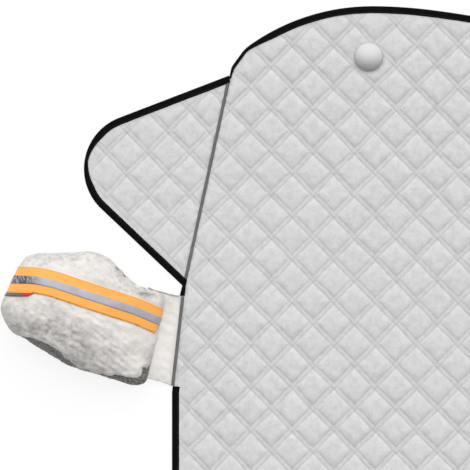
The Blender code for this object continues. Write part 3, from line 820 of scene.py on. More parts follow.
def quilt_grid(loop, shift):
    """Points along and between the seams that cover a loop, and the quads between them.

    Points that would lie outside the loop are moved onto it.
    """
    low, high = loop.min(0), loop.max(0)
    corners = np.array([(x, y) for x in (low[0], high[0]) for y in (low[1], high[1])])
    breaks = cell_breaks()

    def places(values):
        first, last = math.floor(values.min()), math.ceil(values.max())
        return np.array([n + t for n in range(first, last) for t in breaks] + [last])

    at_a, at_b = (places(values) for values in quilt_ways(corners, shift))
    grid_a, grid_b = np.meshgrid(at_a, at_b, indexing="ij")
    x = shift[0] + QUILT_STEP_X * (grid_a + grid_b)
    y = QUILT_START_Y + shift[1] + QUILT_STEP_Y * (grid_a - grid_b)
    xy = np.stack([x.ravel(), y.ravel()], axis=1)
    within = inside(xy, loop)
    count = len(at_b)
    i, j = np.meshgrid(np.arange(len(at_a) - 1), np.arange(count - 1), indexing="ij")
    first = (i * count + j).ravel()
    quads = np.stack([first, first + 1, first + count + 1, first + count], axis=1)
    quads = quads[within[quads].any(axis=1)]
    used = np.unique(quads)
    index = np.full(len(xy), -1)
    index[used] = np.arange(len(used))
    xy, outside = xy[used], ~within[used]
    xy[outside] = nearest_on(xy, loop)[1][outside]
    return xy, index[quads]


def outer_ring(quads):
    """The points round the outside of the quads, in order."""
    sides = np.concatenate([quads[:, [k, (k + 1) % 4]] for k in range(4)])
    sides = sides[sides[:, 0] != sides[:, 1]]
    _, where, count = np.unique(np.sort(sides, axis=1), axis=0, return_index=True, return_counts=True)
    following = {int(p): int(q) for p, q in sides[where[count == 1]]}
    start = next(iter(following))
    ring = [start]
    while following[ring[-1]] != start and len(ring) <= len(following):
        ring.append(following[ring[-1]])
    return ring


def held_down(z, away, hold):
    """The padding held at a level up to some distance away, and free again past the reach."""
    level, start, reach = hold
    return level + (z - level) * smooth((away - start) / reach)


def quilt_object(name, loop, shift, held, seats, seed):
    """A padded panel inside a loop, held down along lines and round seats."""
    loop = as_array(loop)
    xy, quads = quilt_grid(loop, shift)
    a, b = quilt_ways(xy, shift)
    z = quilt_height(a, b)
    for line, hold in held:
        z = held_down(z, nearest_on(xy, line, closed=False)[0], hold)
    for centre in seats:
        z = held_down(z, np.hypot(*(xy - centre).T), SEAT_HOLD)
    free = smooth((nearest_on(xy, loop)[0] - QUILT_STILL[0]) / QUILT_STILL[1])
    for n, (height, size) in enumerate(QUILT_SETTLED):
        z = z + height * wander(xy, size, seed + n) * free
    ring = outer_ring(quads)
    edge = xy[ring]
    shaken = np.column_stack([wander(xy, 0.045, seed + n, 3) for n in (2, 3)])
    verts = [np.column_stack([xy + QUILT_WAVER * shaken * free[:, None], z])]
    ways = [np.column_stack([a, b])]
    faces = [tuple(q) for q in quads.tolist()]
    total = len(xy)
    for inset, level in QUILT_RIMS:
        rim = drawn_in(edge, loop, inset)
        verts.append(np.column_stack([rim, np.full(len(rim), level)]))
        ways.append(np.column_stack(quilt_ways(rim, shift)))
        lower = list(range(total, total + len(rim)))
        total += len(rim)
        for k, point in enumerate(ring):
            n = (k + 1) % len(ring)
            faces.append((ring[n], point, lower[k], lower[n]))
        ring = lower
    flat = geometry.tessellate_polygon([[Vector((p[0], p[1], 0)) for p in rim]])
    faces += [tuple(ring[corner] for corner in face) for face in flat]
    shades = dict(zip(("across_falling", "across_rising"), np.concatenate(ways).T))
    return closed_object(name, np.concatenate(verts), faces, MATERIAL["quilt"], shades)


def drawn_in(points, loop, inset):
    """Points on a closed anticlockwise loop moved inside it, at least that far from its sides."""
    points = points.copy()
    for _ in range(12 if inset else 0):
        distance, spot, way = nearest_on(points, loop)
        inward = np.stack([-way[:, 1], way[:, 0]], axis=1)
        depth = ((points - spot) * inward).sum(axis=1)
        short = np.where(np.abs(depth) > distance - 1e-5, depth, distance * np.sign(depth)) < inset
        points[short] = (spot + inward * (inset + 1e-5))[short]
    return points


# Swept pieces

def slid_onto(path, guides):
    """The path with its first and last stretch ending on a line given as (point, direction)."""
    start = crossing(path[0], path[1] - path[0], *guides[0])
    end = crossing(path[-1], path[-1] - path[-2], *guides[1])
    return [start, *path[1:-1], end]


def swept(name, path, section, material, guides=None, low_guides=None):
    """section(i) gives the (inward, height) points at point i of the path.

    The ends lie on the guides, or else square to the path. The lower part of the section
    can end on guides of its own.
    """
    sections = np.array([section(i) for i in range(len(path))])
    rails = []
    for k in range(sections.shape[1]):
        rail = offset_path(path, sections[:, k, 0].tolist())
        low = low_guides and sections[0, k, 1] < BINDING_HEIGHT / 2
        ends = low_guides if low else guides
        rail = as_array(slid_onto(rail, ends) if ends else rail)
        rails.append(np.column_stack([rail, sections[:, k, 1]]))
    rings = np.stack(rails, axis=1)
    steps, count, _ = rings.shape
    faces = ring_faces(steps, count)
    faces.append(tuple(range(count)))
    faces.append(tuple(reversed(range((steps - 1) * count, steps * count))))
    return closed_object(name, rings.reshape(-1, 3), faces, material)


def width_shares(path, turns):
    """How much of the tape's width shows along a path: least at the turns."""
    away = np.full(len(path), NARROW_REACH)
    for turn in turns:
        away = np.minimum(away, [(p - turn).length for p in path])
    return NARROW_SHARE + (1 - NARROW_SHARE) * away / NARROW_REACH


def tape_section(width, top, out):
    """Outline of a folded tape as (inward, height), for one that bulges out that far."""
    cloth, middle = 0.0009, width * 0.32
    return (
        (width, top - cloth),
        (width - 0.0003, top - 0.0004),
        (width - 0.0010, top - 0.0001),
        (width * 0.78, top - 0.0004),
        (width * 0.62, top - 0.0001),
        (middle, top),
        (0.0008 - out, top - 0.0006),
        (-out, top / 2),
        (0.0008 - out, 0.0005),
        (middle, 0.0001),
        (width - 0.0003, 0.0001),
        (width, 0.0005),
        (width - 0.0003, cloth),
        (middle, cloth + 0.0001),
        (0.0012, 0.0018),
        (0.0012, top - 0.0018),
        (middle, top - 0.0011),
        (width - 0.0004, top - cloth - 0.0002),
    )


def binding(name, path, seed, turns=(), guides=None, low_guides=None, bulge=None, taper=0.0):
    """A folded tape round the edge, and the line of its stitching."""
    path = densified(path, SHORT_STEP if bulge else PATH_STEP)
    s = lengths(as_array(path))
    to_end = np.minimum(s, s[-1] - s)
    share = np.full(len(path), SHORT_SHARE) if bulge else width_shares(path, turns)
    share = share * (1 - taper * (1 - smooth(to_end / TAPER_REACH)))
    width = share * (BINDING_WIDTH - BINDING_CLOTH)
    loose = smooth(to_end / TAPE_HELD)
    widths = BINDING_CLOTH + width + TAPE_WAVER * waver_along(s, 0.030, seed) * loose
    tops = BINDING_HEIGHT - TAPE_PUCKER + TAPE_PUCKER * waver_along(s, 0.010, seed + 3) * loose
    outs = np.linspace(*(bulge or (0, 0)), len(s))

    def section(i):
        return tape_section(widths[i], tops[i], outs[i])

    obj = swept(name, path, section, MATERIAL["tape"], guides, low_guides)
    row = as_array(offset_path(path, (BINDING_CLOTH + width * TAPE_ROW).tolist()))
    row = row[to_end > TAPE_ROW_END]
    return obj, np.column_stack([row, np.full(len(row), BINDING_HEIGHT - 0.0004)])


def stitches(name, points, material):
    """Short lengths of thread along a line of (x, y, z) points, as one mesh."""
    verts, faces = [], []
    last = lengths(points)[-1] - STITCH_LENGTH
    for start in np.arange(STITCH_SPACING / 2, last, STITCH_SPACING):
        spots = at_lengths(points, start + STITCH_LENGTH * np.array([0, 0.5, 1]))
        along = spots[2] - spots[0]
        side = np.cross(along, (0, 0, 1))
        side /= np.linalg.norm(side)
        up = np.cross(side, along / np.linalg.norm(along))
        base = len(verts)
        for spot, lift in zip(spots, (-0.5, 0.35, -0.5)):
            for turn in (math.tau * k / 4 for k in range(4)):
                away = up * (lift + math.sin(turn)) + side * math.cos(turn)
                verts.append(spot + away * THREAD_RADIUS)
        faces += ring_faces(3, 4, base)
        faces.append((base + 3, base + 2, base + 1, base))
        faces.append((base + 8, base + 9, base + 10, base + 11))
    return mesh_object(name, verts, faces, material)


# Mirror bags

BAG_LOOP = as_array(rounded_loop(BAG_CORNERS))


def bag_reaches(angles):
    """How far the bag's outline lies from its centre, in those directions."""
    centre = np.array(BAG_CENTRE)
    a = BAG_LOOP - centre
    b = np.roll(a, -1, axis=0)
    edge = b - a
    d = np.stack([np.cos(angles), np.sin(angles)], axis=1)
    across = d[:, None, 0] * edge[None, :, 1] - d[:, None, 1] * edge[None, :, 0]
    across = np.where(np.abs(across) < 1e-12, 1e-12, across)
    along = (a[None, :, 0] * edge[None, :, 1] - a[None, :, 1] * edge[None, :, 0]) / across
    share = (a[None, :, 0] * d[:, None, 1] - a[None, :, 1] * d[:, None, 0]) / across
    ok = (share >= -1e-6) & (share <= 1 + 1e-6) & (along > 0)
    return np.where(ok, along, 0).max(axis=1)


def gather_width(angle):
    """How much of the gathered edge, painted dark as shade, shows from above, in those directions."""
    turn = np.degrees((angle + math.pi) % math.tau - math.pi)
    return np.interp(turn, *np.array(GATHER_WIDTHS).T)


def bag_angles():
    """Directions round the bag, closer together where its edge is gathered, and the way round."""
    fine = np.linspace(0, math.tau, 1441)
    reach = bag_reaches(fine)
    way = lengths(np.stack([reach * np.cos(fine), reach * np.sin(fine)], axis=1))
    weight = 1 + 1.3 * (gather_width(fine[1:]) > 0)
    s = np.concatenate([[0], np.cumsum(np.diff(way) * weight)])
    angles = np.interp(np.linspace(0, s[-1], BAG_STEPS, endpoint=False), s, fine)
    return angles, np.interp(angles, fine, way)


def bag_base(angle, tilt):
    """The plain form of the bag, as (out, up, height) for arrays of angle and tilt."""
    share = np.sin(tilt) ** BAG_ROUNDNESS
    reach = bag_reaches(angle.ravel()).reshape(angle.shape) * share
    out = BAG_CENTRE[0] + reach * np.cos(angle)
    up = BAG_CENTRE[1] + reach * np.sin(angle)
    rise = np.cos(tilt)
    over = BAG_WAIST + (BAG_HEIGHT - BAG_WAIST) * np.abs(rise) ** BAG_FLATNESS
    under = BAG_WAIST - (BAG_WAIST - HEM_TOP) * rise / math.cos(BAG_HEM_ANGLE)
    height = np.where(rise >= 0, over, under)
    ease = smooth(out / BAG_NECK_LENGTH)
    neck = BAG_NECK_SHARE + (1 - BAG_NECK_SHARE) * ease
    return out, up, HEM_TOP + (height - HEM_TOP) * neck


def in_cover(out, up, height):
    return np.stack([BAG_ANCHOR.x - out, BAG_ANCHOR.y + up, height], axis=-1)


def tape_offset(out, up):
    """Signed distance of places on the bag from the tape's line, in the plane."""
    line = np.array(TAPE_LINE)
    points = np.stack([np.ravel(out), np.ravel(up)], axis=1)
    distance, spot, way = nearest_on(points, line, closed=False)
    gap = points - spot
    sign = np.sign(way[:, 0] * gap[:, 1] - way[:, 1] * gap[:, 0])
    return (distance * sign).reshape(np.shape(out))


def folds(points, heading, spacing, seed, bend=0.45, sharp=0.9):
    """Soft parallel folds of about -1 to 1 that bend, part and fade. heading is across them."""
    turn = math.radians(heading)
    across = points[:, 0] * math.cos(turn) + points[:, 1] * math.sin(turn) + points[:, 2] * 0.3
    phase = across / spacing + bend * wander(points, spacing * 3.0, seed)
    wave = np.arcsin(sharp * np.sin(math.tau * phase)) / math.asin(sharp)
    return wave * smooth(0.55 + 1.1 * wander(points, spacing * 2.4, seed + 1))


def creases(points, size, seed, heading, stretch):
    """Sharp crests and valleys of about -1 to 1, drawn out along that heading."""
    turn = math.radians(heading)
    along = points[:, 0] * math.cos(turn) + points[:, 1] * math.sin(turn)
    across = points[:, 1] * math.cos(turn) - points[:, 0] * math.sin(turn)
    places = np.column_stack([along / stretch, across, points[:, 2]])
    return 2.2 * (np.abs(wander(places, size, seed)) - np.abs(wander(places, size, seed + 1)))


def patch(out, up, centre, reach):
    """1 at a place on the bag, fading out over that reach along and across."""
    return np.exp(-(((out - centre[0]) / reach[0]) ** 2) - ((up - centre[1]) / reach[1]) ** 2)


def fold_shade(out, up, crumple):
    """How dark the painted shade of the fold by the bag's neck is."""
    return 0.8 * np.clip(patch(out, up, *SHADED_FOLD) * (0.9 + 1.8 * crumple), 0, 1)


def bag_grid():
    """Points of the creased bag over angle and tilt, its normals, and its two painted masks: painted shade,
    and wear with painted shade.
    """
    angles, way = bag_angles()
    tilts = np.linspace(0.03, BAG_HEM_ANGLE, BAG_ROWS)
    angle, tilt = np.meshgrid(angles, tilts, indexing="ij")
    out, up, height = bag_base(angle, tilt)
    base = in_cover(out, up, height)
    places = np.stack([out.ravel(), up.ravel(), height.ravel()], axis=1)

    def ways(texture, *settings):
        return texture(places, *settings).reshape(out.shape)

    # How far a place lies in from the outline, and the part of the gathered edge there, which is painted
    # dark as shade
    reach = bag_reaches(angles)[:, None]
    inward = np.where(tilt < math.pi / 2, reach * (1 - np.sin(tilt) ** BAG_ROUNDNESS), 0.0)
    width = gather_width(angle)
    ragged = RAGGED * ways(wander, 0.009, 71)
    gathered = smooth((width - inward + ragged) / RAGGED) * smooth(width / 0.002)
    roll = np.exp(-(((inward - width - 0.0055) / 0.0045) ** 2)) * smooth(width / 0.004)
    ruche = np.sin(math.tau * way[:, None] / GATHER_SPACING + 2.2 * ways(wander, 0.02, 73))
    rim = np.exp(-inward / 0.010)
    low_tip, low_middle, top_inner, top_edge = (
        patch(out, up, *place) for place in (LOW_TIP, LOW_MIDDLE, TOP_INNER, TOP_EDGE)
    )

    # How far the cloth stands off its plain form, held close under the tape
    hold = smooth((np.abs(tape_offset(out, up)) - TAPE_WIDTH / 2 + 0.001) / 0.012)
    broad = ways(wander, 0.075, 1, 2)
    crumple = ways(wander, 0.011, 9, 3)
    loose = 0.0018 * broad + 0.0007 * ways(folds, 118.0, 0.036, 15, 0.6, 0.97)
    for depth, size, seed, heading, stretch, lost in BAG_CREASES:
        loose += depth * ways(creases, size, seed, heading, stretch) * (1 - lost * rim)
    loose += 0.0014 * low_middle * ways(folds, -58.0, 0.0110, 23, 0.25, 0.96)
    loose += 0.0015 * top_inner * ways(folds, -49.0, 0.0090, 27, 0.25, 0.96)
    loose += 0.0009 * (0.25 + 0.9 * low_tip + 0.5 * rim) * crumple
    hem_part = np.clip((tilt - HEM_START) / (BAG_HEM_ANGLE - HEM_START), 0, 1)
    pleats = np.sin(angle * BAG_PLEATS + 1.2 * np.sin(angle * 3)) * hem_part**1.5
    push = loose * hold + (0.0006 * broad - 0.0008) * (1 - hold) + 0.0016 * roll * hold
    push += 0.0024 * pleats * (1 - gathered) - 0.0020 * gathered
    push += 0.0009 * ruche * gathered * smooth(inward / 0.006)
    free = 0.25 + 0.75 * smooth((BAG_HEM_ANGLE - tilt) / 0.25)
    points = base + grid_normals(base) * (push * free)[..., None]
    points[..., 2] = np.maximum(points[..., 2], HEM_TOP * 0.9)

    # The fold by the neck is painted dark as shade too
    gathered = np.maximum(gathered, fold_shade(out, up, crumple))
    # Soil and painted shade: darker towards the rim, along the top edge and over the low parts
    worn = 1.4 * low_tip + 0.6 * rim + 0.55 * low_middle + 0.4 * top_inner
    worn = np.clip(np.maximum(worn, 0.85 * top_edge), 0, 1)
    return angles, tilts, points, grid_normals(points), gathered, worn


def grid_normals(points):
    """Normals of a grid that is closed in its first direction, pointing out of the bag."""
    across = np.roll(points, -1, axis=0) - np.roll(points, 1, axis=0)
    along = np.gradient(points, axis=1)
    n = np.cross(across, along)
    n /= np.maximum(np.linalg.norm(n, axis=-1), 1e-12)[..., None]
    middle = points.mean(axis=(0, 1))
    if (n * (points - middle)).sum() < 0:
        n = -n
    return n


def sample(grid, angle, tilt, angles, tilts):
    """Values of a grid between its points."""
    i = np.interp(angle % math.tau, [*angles, math.tau], np.arange(len(angles) + 1))
    j = np.clip((tilt - tilts[0]) / (tilts[1] - tilts[0]), 0, len(tilts) - 1.001)
    i0, j0 = np.floor(i).astype(int) % len(angles), np.floor(j).astype(int)
    i1 = (i0 + 1) % len(angles)
    fi, fj = (i - np.floor(i))[..., None], (j - j0)[..., None]
    top = grid[i0, j0] * (1 - fi) + grid[i1, j0] * fi
    low = grid[i0, j0 + 1] * (1 - fi) + grid[i1, j0 + 1] * fi
    return top * (1 - fj) + low * fj


def bag_object(name, grid):
    """The bag, open below, with its cloth's thickness and its shades."""
    _, _, points, normals, gathered, worn = grid
    steps, rows, _ = points.shape
    size = steps * rows
    crown = points[:, 0].mean(axis=0)
    inner = points - normals * BAG_CLOTH
    verts = [points.reshape(-1, 3), inner.reshape(-1, 3), [crown], [crown - (0, 0, BAG_CLOTH)]]
    faces = cloth_faces(steps, rows, closed=True)
    for i in range(steps):
        a, b = i * rows, (i + 1) % steps * rows
        faces += [(2 * size, b, a), (2 * size + 1, size + a, size + b)]
    shades = {"gathered": gathered, "worn": worn}
    for label, values in shades.items():
        shades[label] = np.concatenate([values.ravel(), values.ravel(), [0.0, 0.0]])
    return closed_object(name, np.concatenate(verts), faces, MATERIAL["bag"], shades)


def tape_centre():
    """Points along the middle of the tape, in the plane, and its direction there."""
    line = [Vector(p) for p in TAPE_LINE]
    path = [line[0]]
    for before, corner, after in zip(line, line[1:], line[2:]):
        path += fillet(before, corner, after, TAPE_BEND)
    p = as_array([*path, line[-1]])
    p = at_lengths(p, np.linspace(0, lengths(p)[-1], 500))
    way = np.gradient(p, axis=0)
    return p, way / np.linalg.norm(way, axis=1)[:, None]


def tape_tracks(grid, asides, outset, columns=160):
    """Lines of points on the bag along the tape, one for each distance aside.

    An aside is a number, or a function of how far out the place is.
    """
    angles, tilts, points, normals = grid[:4]
    p, way = tape_centre()
    tracks, outs = [], []
    for aside in asides:
        far = aside(p[:, 0]) if callable(aside) else np.full(len(p), aside)
        q = p + np.stack([-way[:, 1], way[:, 0]], axis=1) * far[:, None]
        gap = q - np.array(BAG_CENTRE)
        angle = np.arctan2(gap[:, 1], gap[:, 0])
        share = np.hypot(*gap.T) / bag_reaches(angle)
        within = np.flatnonzero(share < 1.0)
        on_bag = slice(within[0], within[-1] + 1)
        tilt = np.arcsin(np.clip(share[on_bag], 0, 1) ** (1 / BAG_ROUNDNESS))
        wrap = np.linspace(math.pi / 2, math.pi / 2 + TAPE_WRAP, 24)[1:]
        a = np.concatenate([angle[on_bag], np.full(len(wrap), angle[within[-1]])])
        t = np.concatenate([tilt, wrap])
        place = sample(points, a, t, angles, tilts) + sample(normals, a, t, angles, tilts) * outset
        tracks.append(at_lengths(place, np.linspace(0, lengths(place)[-1], columns)))
        outs.append(BAG_ANCHOR.x - tracks[-1][:, 0])
    return np.array(tracks), np.array(outs)


def band_object(name, tracks, thickness, material, shades):
    """A cloth band from lines of points along it, given that thickness."""
    rows, columns, _ = tracks.shape
    across = np.gradient(tracks, axis=0)
    along = np.gradient(tracks, axis=1)
    n = np.cross(along, across)
    n /= np.maximum(np.linalg.norm(n, axis=-1), 1e-12)[..., None]
    if n[..., 2].sum() < 0:
        n = -n
    upper = tracks + n * thickness
    verts = np.concatenate([tracks.reshape(-1, 3), upper.reshape(-1, 3)])
    shades = {label: np.concatenate([values.ravel()] * 2) for label, values in shades.items()}
    return closed_object(name, verts, cloth_faces(rows, columns), material, shades)


def turned_edge(out):
    """How much of the tape's lower edge is folded out from under it, nearest the tip."""
    return TURN_WIDTH * smooth((out - TURN_START) / TURN_REACH)


def orange_object(name, grid):
    """The orange band, with its lower edge folded out near the tip and painted as shade there."""
    half = TAPE_WIDTH / 2
    folded = [lambda out, t=t: -half - t * turned_edge(out) for t in TURN_FOLDS]
    tracks, outs = tape_tracks(grid, [*folded, *np.linspace(-half, half, 15)], TAPE_OUTSET)
    turned = np.zeros(outs.shape)
    shown = np.clip(turned_edge(outs[:3]) / 0.0008, 0, 1)
    turned[:3] = shown * (1 + smooth((outs[:3] - TURN_DARK) / 0.003))
    tracks[:3, :, 2] += np.array(TURN_LIFTS)[:, None] * shown
    return band_object(name, tracks, TAPE_THICKNESS, MATERIAL["orange"], {"turned": turned})


def stripe_object(name, grid):
    """The silver stripe along the orange band, worn at the bag's tip."""
    half = STRIPE_WIDTH / 2
    tracks, outs = tape_tracks(grid, np.linspace(-half, half, 7), STRIPE_OUTSET)
    worn = smooth((outs - STRIPE_WORN) / 0.03)
    return band_object(name, tracks, STRIPE_THICKNESS, MATERIAL["stripe"], {"worn": worn})


def hem_object(name, grid):
    """The elastic that gathers the bag's opening, a lumpy tube on the floor."""
    angles, points = grid[0], grid[2]
    ring = points[:, -1]
    away = (ring - ring.mean(axis=0))[:, :2]
    away /= np.linalg.norm(away, axis=1)[:, None]
    turn = math.tau * np.arange(HEM_SIDES) / HEM_SIDES
    radius = HEM_RADIUS * (1 + 0.16 * np.sin(angles * HEM_LUMPS))
    verts = np.zeros((len(ring), HEM_SIDES, 3))
    verts[..., :2] = ring[:, None, :2] + away[:, None] * (radius[:, None] * np.cos(turn))[..., None]
    verts[..., 2] = HEM_RADIUS + 0.0001 + HEM_RADIUS * 0.98 * np.sin(turn)
    faces = ring_faces(len(ring), HEM_SIDES, closed=True)
    return closed_object(name, verts.reshape(-1, 3), faces, MATERIAL["elastic"])


def strip_object(name):
    """The plain cloth between the cover's edge and the bag."""
    away = -left_of(LOWER_SIDE) * QUILT_SETBACK
    inner = np.array([SLEEVE_TOP + away, SLEEVE_BOTTOM + away])
    outer = in_cover(*np.array([STRIP_OUTER_TOP, STRIP_OUTER_BOTTOM]).T, np.zeros(2))[:, :2]
    u = np.linspace(0, 1, STRIP_COLUMNS)  # from the cover to the bag
    v = np.linspace(0, 1, STRIP_ROWS)  # from the top down
    grid = np.zeros((STRIP_ROWS, STRIP_COLUMNS, 3))
    for row, t in zip(grid, v):
        a, b = (ends[0] * (1 - t) + ends[1] * t for ends in (inner, outer))
        row[:, :2] = a + (b - a) * u[:, None]

    # The free edges bow in a little and ruffle, and the cloth sags between its seams
    ruffle = waver_along(u, 0.16, 91) * smooth(np.minimum(u, 1 - u) / 0.15)
    grid[..., 1] += np.outer(2 * v - 1, 0.0022 * np.sin(math.pi * u) + 0.0007 * ruffle)
    grid[..., 2] = STRIP_LOW + (STRIP_LIFT - STRIP_LOW) * smooth(u) - 0.0012 * np.sin(math.pi * u)
    places = grid.reshape(-1, 3)

    def ways(texture, *settings):
        return texture(places, *settings).reshape(STRIP_ROWS, STRIP_COLUMNS)

    slack = 0.0011 * ways(wander, 0.040, 17) + 0.0009 * ways(folds, 8.0, 0.030, 33, 0.3)
    slack += 0.0004 * ways(folds, 60.0, 0.017, 37) + 0.0003 * ways(wander, 0.010, 41)
    grid[..., 2] = np.maximum(grid[..., 2] + slack * smooth(u / 0.18), 0.0012)

    # Painted shade along the free upper edge, beside the seam and on the fold by the bag's neck; darker
    # near both free edges
    rim = v[:, None] * SLEEVE_DROP
    ragged = 0.0010 * ways(wander, 0.008, 43)
    upper = 0.75 * smooth((0.0030 - rim + ragged) / 0.0014) * smooth(u / 0.1)
    beside = (0.30 + 60 * ragged) * np.exp(-u / 0.07)
    crumple = ways(wander, 0.006, 45, 3)
    dark_mottle = fold_shade(BAG_ANCHOR.x - grid[..., 0], grid[..., 1] - BAG_ANCHOR.y, crumple)
    worn = 0.35 * np.exp(-rim / 0.015) + 0.25 * np.exp(-(SLEEVE_DROP - rim) / 0.012)
    worn = np.broadcast_to(worn, dark_mottle.shape)
    shades = {"gathered": np.maximum.reduce([upper, beside, dark_mottle]), "worn": worn}
    return band_object(name, grid, STRIP_THICKNESS, MATERIAL["strip"], shades)


# Magnets

def magnet_object(name, centre):
    """A domed cap with a rounded rim."""
    sphere = (MAGNET_DOME**2 + MAGNET_RISE**2) / (2 * MAGNET_RISE)
    radii = [MAGNET_DOME * i / MAGNET_RINGS for i in range(1, MAGNET_RINGS + 1)]
    profile = [(r, MAGNET_TOP - sphere + math.sqrt(sphere**2 - r**2)) for r in radii]
    profile += MAGNET_RIM
    turns = [math.tau * k / MAGNET_STEPS for k in range(MAGNET_STEPS)]
    verts = [(*centre, MAGNET_TOP)]
    for r, z in profile:
        verts += [(centre[0] + r * math.cos(t), centre[1] + r * math.sin(t), z) for t in turns]
    faces = [(0, 1 + k, 1 + (k + 1) % MAGNET_STEPS) for k in range(MAGNET_STEPS)]
    faces += ring_faces(len(profile), MAGNET_STEPS, start=1)
    faces.append(tuple(range(len(verts) - 1, len(verts) - 1 - MAGNET_STEPS, -1)))
    return closed_object(name, verts, faces, MATERIAL["metal"])


# The whole cover

MATERIAL = {
    "quilt": quilt_material(),
    "tape": tape_material(),
    "piping": piping_material(),
    "bag": bag_material(),
    "strip": bag_material("silver_strip_cloth", 1.14, 0.2),
    "orange": orange_material(),
    "stripe": stripe_material(),
    "elastic": elastic_material(),
    "metal": metal_material(),
    "black_thread": thread_material("black_thread", (0.02, 0.02, 0.021)),
    "orange_thread": thread_material("orange_thread", (0.75, 0.30, 0.05)),
}


def build_panels():
    top = as_array(mirrored(top_half())[:-1] + top_half())
    low = as_array(low_half() + mirrored(low_half())[1:])
    seams = [np.array([(a.x * turn, a.y), (b.x * turn, b.y)]) for turn in (1, -1) for a, b in SEAMS]
    held = [(top, TAPE_HOLD), (low, TAPE_HOLD), *((line, SEAM_HOLD) for line in seams)]
    seats = [np.array((turn * -MAGNET_X, TOP_Y - MAGNET_DROP)) for turn in (1, -1)]
    loop = inset_loop(panel_loop(), QUILT_SETBACK)
    panel = quilt_object("quilted_panel", loop, (0.0, 0.0), held, seats, 31)
    settle(panel, "silver_quilt", "main_panel")

    path = wing_path()
    held = [(as_array(path), TAPE_HOLD), (as_array([CORNER, KNEE]), SEAM_HOLD)]
    loop = inset_loop(path, QUILT_SETBACK)
    wing = quilt_object("quilted_wing_left", loop, WING_QUILT_SHIFT, held, [], 47)
    for piece in (panel, *settle_pair(wing, "silver_quilt", "wing_panel")):
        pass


def add_tape(name, node, path, seed, **form):
    """A tape and its stitching, for the whole cover or for its left side and mirrored."""
    obj, line = binding(name, path, seed, **form)
    pieces = [(obj, node)]
    if len(line) > 3:
        thread = stitches(name.replace("tape", "thread"), line, MATERIAL["black_thread"])
        pieces.append((thread, None))
    place = settle_pair if "left" in name else settle
    for piece, stands_for in pieces:
        place(piece, "black_tape", stands_for)


def build_bindings():
    """All the tapes. The ends of the wing's and the short one lie on lines across the seams."""
    left_top = [*top_half(), CORNER + SIDE * CORNER_COVER]
    turned_in = densified([SHOULDER, *corner_run()], PATH_STEP)
    turned_in += mirrored(turned_in)
    wing = wing_path()
    before_seam = (CORNER - left_of(SIDE) * SEAM_SETBACK, SIDE)
    at_seam = (CORNER - left_of(SIDE) * 0.0001, SIDE)
    past_seam = (CORNER + left_of(SIDE) * KNEE_COVER, SIDE)
    under_wing = (KNEE + left_of(-LOW_WAY) * SHORT_TUCK, LOW_WAY)
    top = mirrored(left_top)[:-1] + left_top
    add_tape("tape_top", "binding_top", top, 5, turns=turned_in, taper=TOP_TAPER)
    add_tape("tape_bottom", "binding_bottom", low_half() + mirrored(low_half())[1:], 7)
    add_tape(
        "tape_wing_left",
        "wing_binding",
        wing,
        11,
        turns=(wing[len(wing) // 2],),
        guides=(at_seam, past_seam),
        low_guides=(before_seam, before_seam),
    )
    add_tape(
        "tape_short_left",
        "binding_short",
        [KNEE, SLEEVE_TOP],
        13,
        guides=(under_wing, (SLEEVE_TOP, left_of(LOWER_SIDE))),
        bulge=SHORT_BULGE,
    )


def add_piping(stem, a, b, covers):
    """Piping along a seam, pressed flat over the length that a tape covers at each end."""
    way = unit(b - a)
    path = densified([a + way * PIECE_GAP, b - way * PIECE_GAP], PIPING_STEP)
    s = lengths(as_array(path))
    waver = waver_along(s, 0.03, 61)
    free = np.ones(len(s))
    if covers:
        free = smooth(np.minimum(s - covers[0], s[-1] - covers[1] - s) / PIPING_PRESS + 1.0)

    def section(i):
        half = PIPING_TRIM / 2 + 0.00012 * waver[i]
        rise = PIPING_LOW + (PIPING_HIGH - PIPING_LOW) * free[i]
        turns = [math.tau * k / PIPING_SIDES for k in reversed(range(PIPING_SIDES))]
        return [(half * math.cos(t), 0.0001 + rise + rise * math.sin(t)) for t in turns]

    obj = swept(f"{stem}_trim_left", path, section, MATERIAL["piping"])
    settle_pair(obj, "grey_piping", stem)


def build_piping():
    # The wing's tape crosses the seam at both its ends
    top_cover, low_cover = (
        BINDING_WIDTH / math.sin(math.acos(way.dot(turn))) + 0.0004
        for way, turn in ((TOP_WAY, SIDE), (LOW_WAY, -SIDE))
    )
    start = CORNER + SIDE * (CORNER_COVER - PIPING_TUCK)
    add_piping("wing_piping", start, KNEE, (top_cover - CORNER_COVER, low_cover))
    add_piping("sleeve_piping", SLEEVE_TOP, SLEEVE_BOTTOM, None)


def build_bags():
    grid = bag_grid()
    pieces = [
        (bag_object("puffed_bag_left", grid), "silver_cloth", "mirror_bag"),
        (hem_object("gathered_hem_left", grid), "grey_elastic", "mirror_hem"),
        (orange_object("bag_tape_left", grid), "orange_tape", "orange_tape"),
        (stripe_object("bag_stripe_left", grid), "reflective_stripe", "silver_stripe"),
        (strip_object("bag_strip_left"), "silver_cloth", "sleeve_strip"),
    ]
    half = TAPE_WIDTH / 2 - TAPE_SEAM
    for tag, track in zip(("upper", "lower"), tape_tracks(grid, [-half, half], STRIPE_OUTSET)[0]):
        thread = stitches(f"tape_thread_{tag}_left", track, MATERIAL["orange_thread"])
        pieces.append((thread, "orange_tape", None))
    for obj, slot, node in pieces:
        pair = settle_pair(obj, slot, node)


def build_magnets():
    for side, turn in (("left", 1.0), ("right", -1.0)):
        centre = (-MAGNET_X * turn, TOP_Y - MAGNET_DROP)
        cap = magnet_object(f"magnet_button_{side}", centre)
        settle(cap, "magnet_metal", f"magnet_cap_{side}")
        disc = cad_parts[f"magnet_disc_{side}"]
        for slot in disc.material_slots:
            slot.material = MATERIAL["metal"]


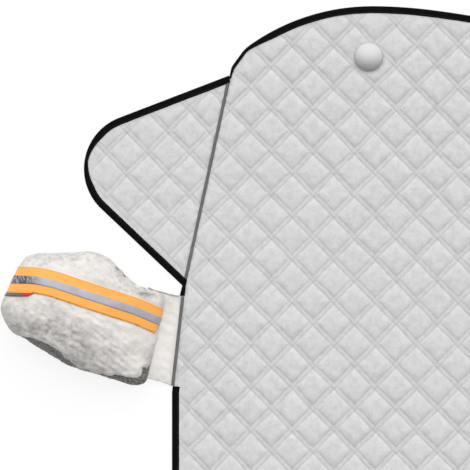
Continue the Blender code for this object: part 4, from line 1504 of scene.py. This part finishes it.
def build_stage():
    mesh = bpy.data.meshes.new("floor")
    r = FLOOR_HALF
    corners = [(x, y, FLOOR_LEVEL) for x, y in ((-r, -r), (r, -r), (r, r), (-r, r))]
    mesh.from_pydata(corners, [], [(0, 1, 2, 3)])
    mesh.materials.append(floor_material())
    floor = bpy.data.objects.new("floor", mesh)
    bpy.context.scene.collection.objects.link(floor)


def build_light():
    """A bright sky towards the roof edge, falling off smoothly to the other side.

    The camera sees plain white past the floor.
    """
    world = bpy.data.worlds.new("studio")
    bpy.context.scene.world = world
    n = Nodes("studio", world, "Background", "Generated")
    toward = {0: n.place, 1: LIGHT_FROM / LIGHT_FROM.length}
    toward = n.add("ShaderNodeVectorMath", operation="DOT_PRODUCT", inputs=toward).outputs["Value"]
    gain = {"Value": toward, "From Min": SKY_SPREAD, "From Max": 1.0, "To Min": SKY_LOW, "To Max": SKY_HIGH}
    gain = n.add("ShaderNodeMapRange", gain, interpolation_type="SMOOTHSTEP").outputs["Result"]
    seen = n.add("ShaderNodeLightPath").outputs["Is Camera Ray"]
    strength = n.add("ShaderNodeMix", {"Factor": seen, "A": gain, "B": 1.0}).outputs["Result"]
    n.put(n.shader.inputs["Strength"], strength)
    n.put(n.shader.inputs["Color"], (1, 1, 1, 1))


def build_camera():
    """Straight above the middle of the photograph, which holds the cover's left half."""
    camera = bpy.data.cameras.new("camera")
    camera.lens = LENS
    camera.sensor_width = SENSOR
    camera.clip_start = 0.1
    camera.clip_end = 100.0
    obj = bpy.data.objects.new("camera", camera)
    bpy.context.scene.collection.objects.link(obj)
    middle = PHOTO_PIXELS / 2
    obj.location = (
        (middle - CENTRE_LINE_PIXEL) * PIXEL,
        (MIDDLE_ROW_PIXEL - middle) * PIXEL,
        PHOTO_LEVEL + PHOTO_PIXELS * PIXEL * LENS / SENSOR,
    )
    bpy.context.scene.camera = obj


build_camera()
build_light()
build_stage()
build_panels()
build_bindings()
build_piping()
build_bags()
build_magnets()

bpy.context.scene.view_settings.view_transform = "Standard"
bpy.context.view_layer.update()
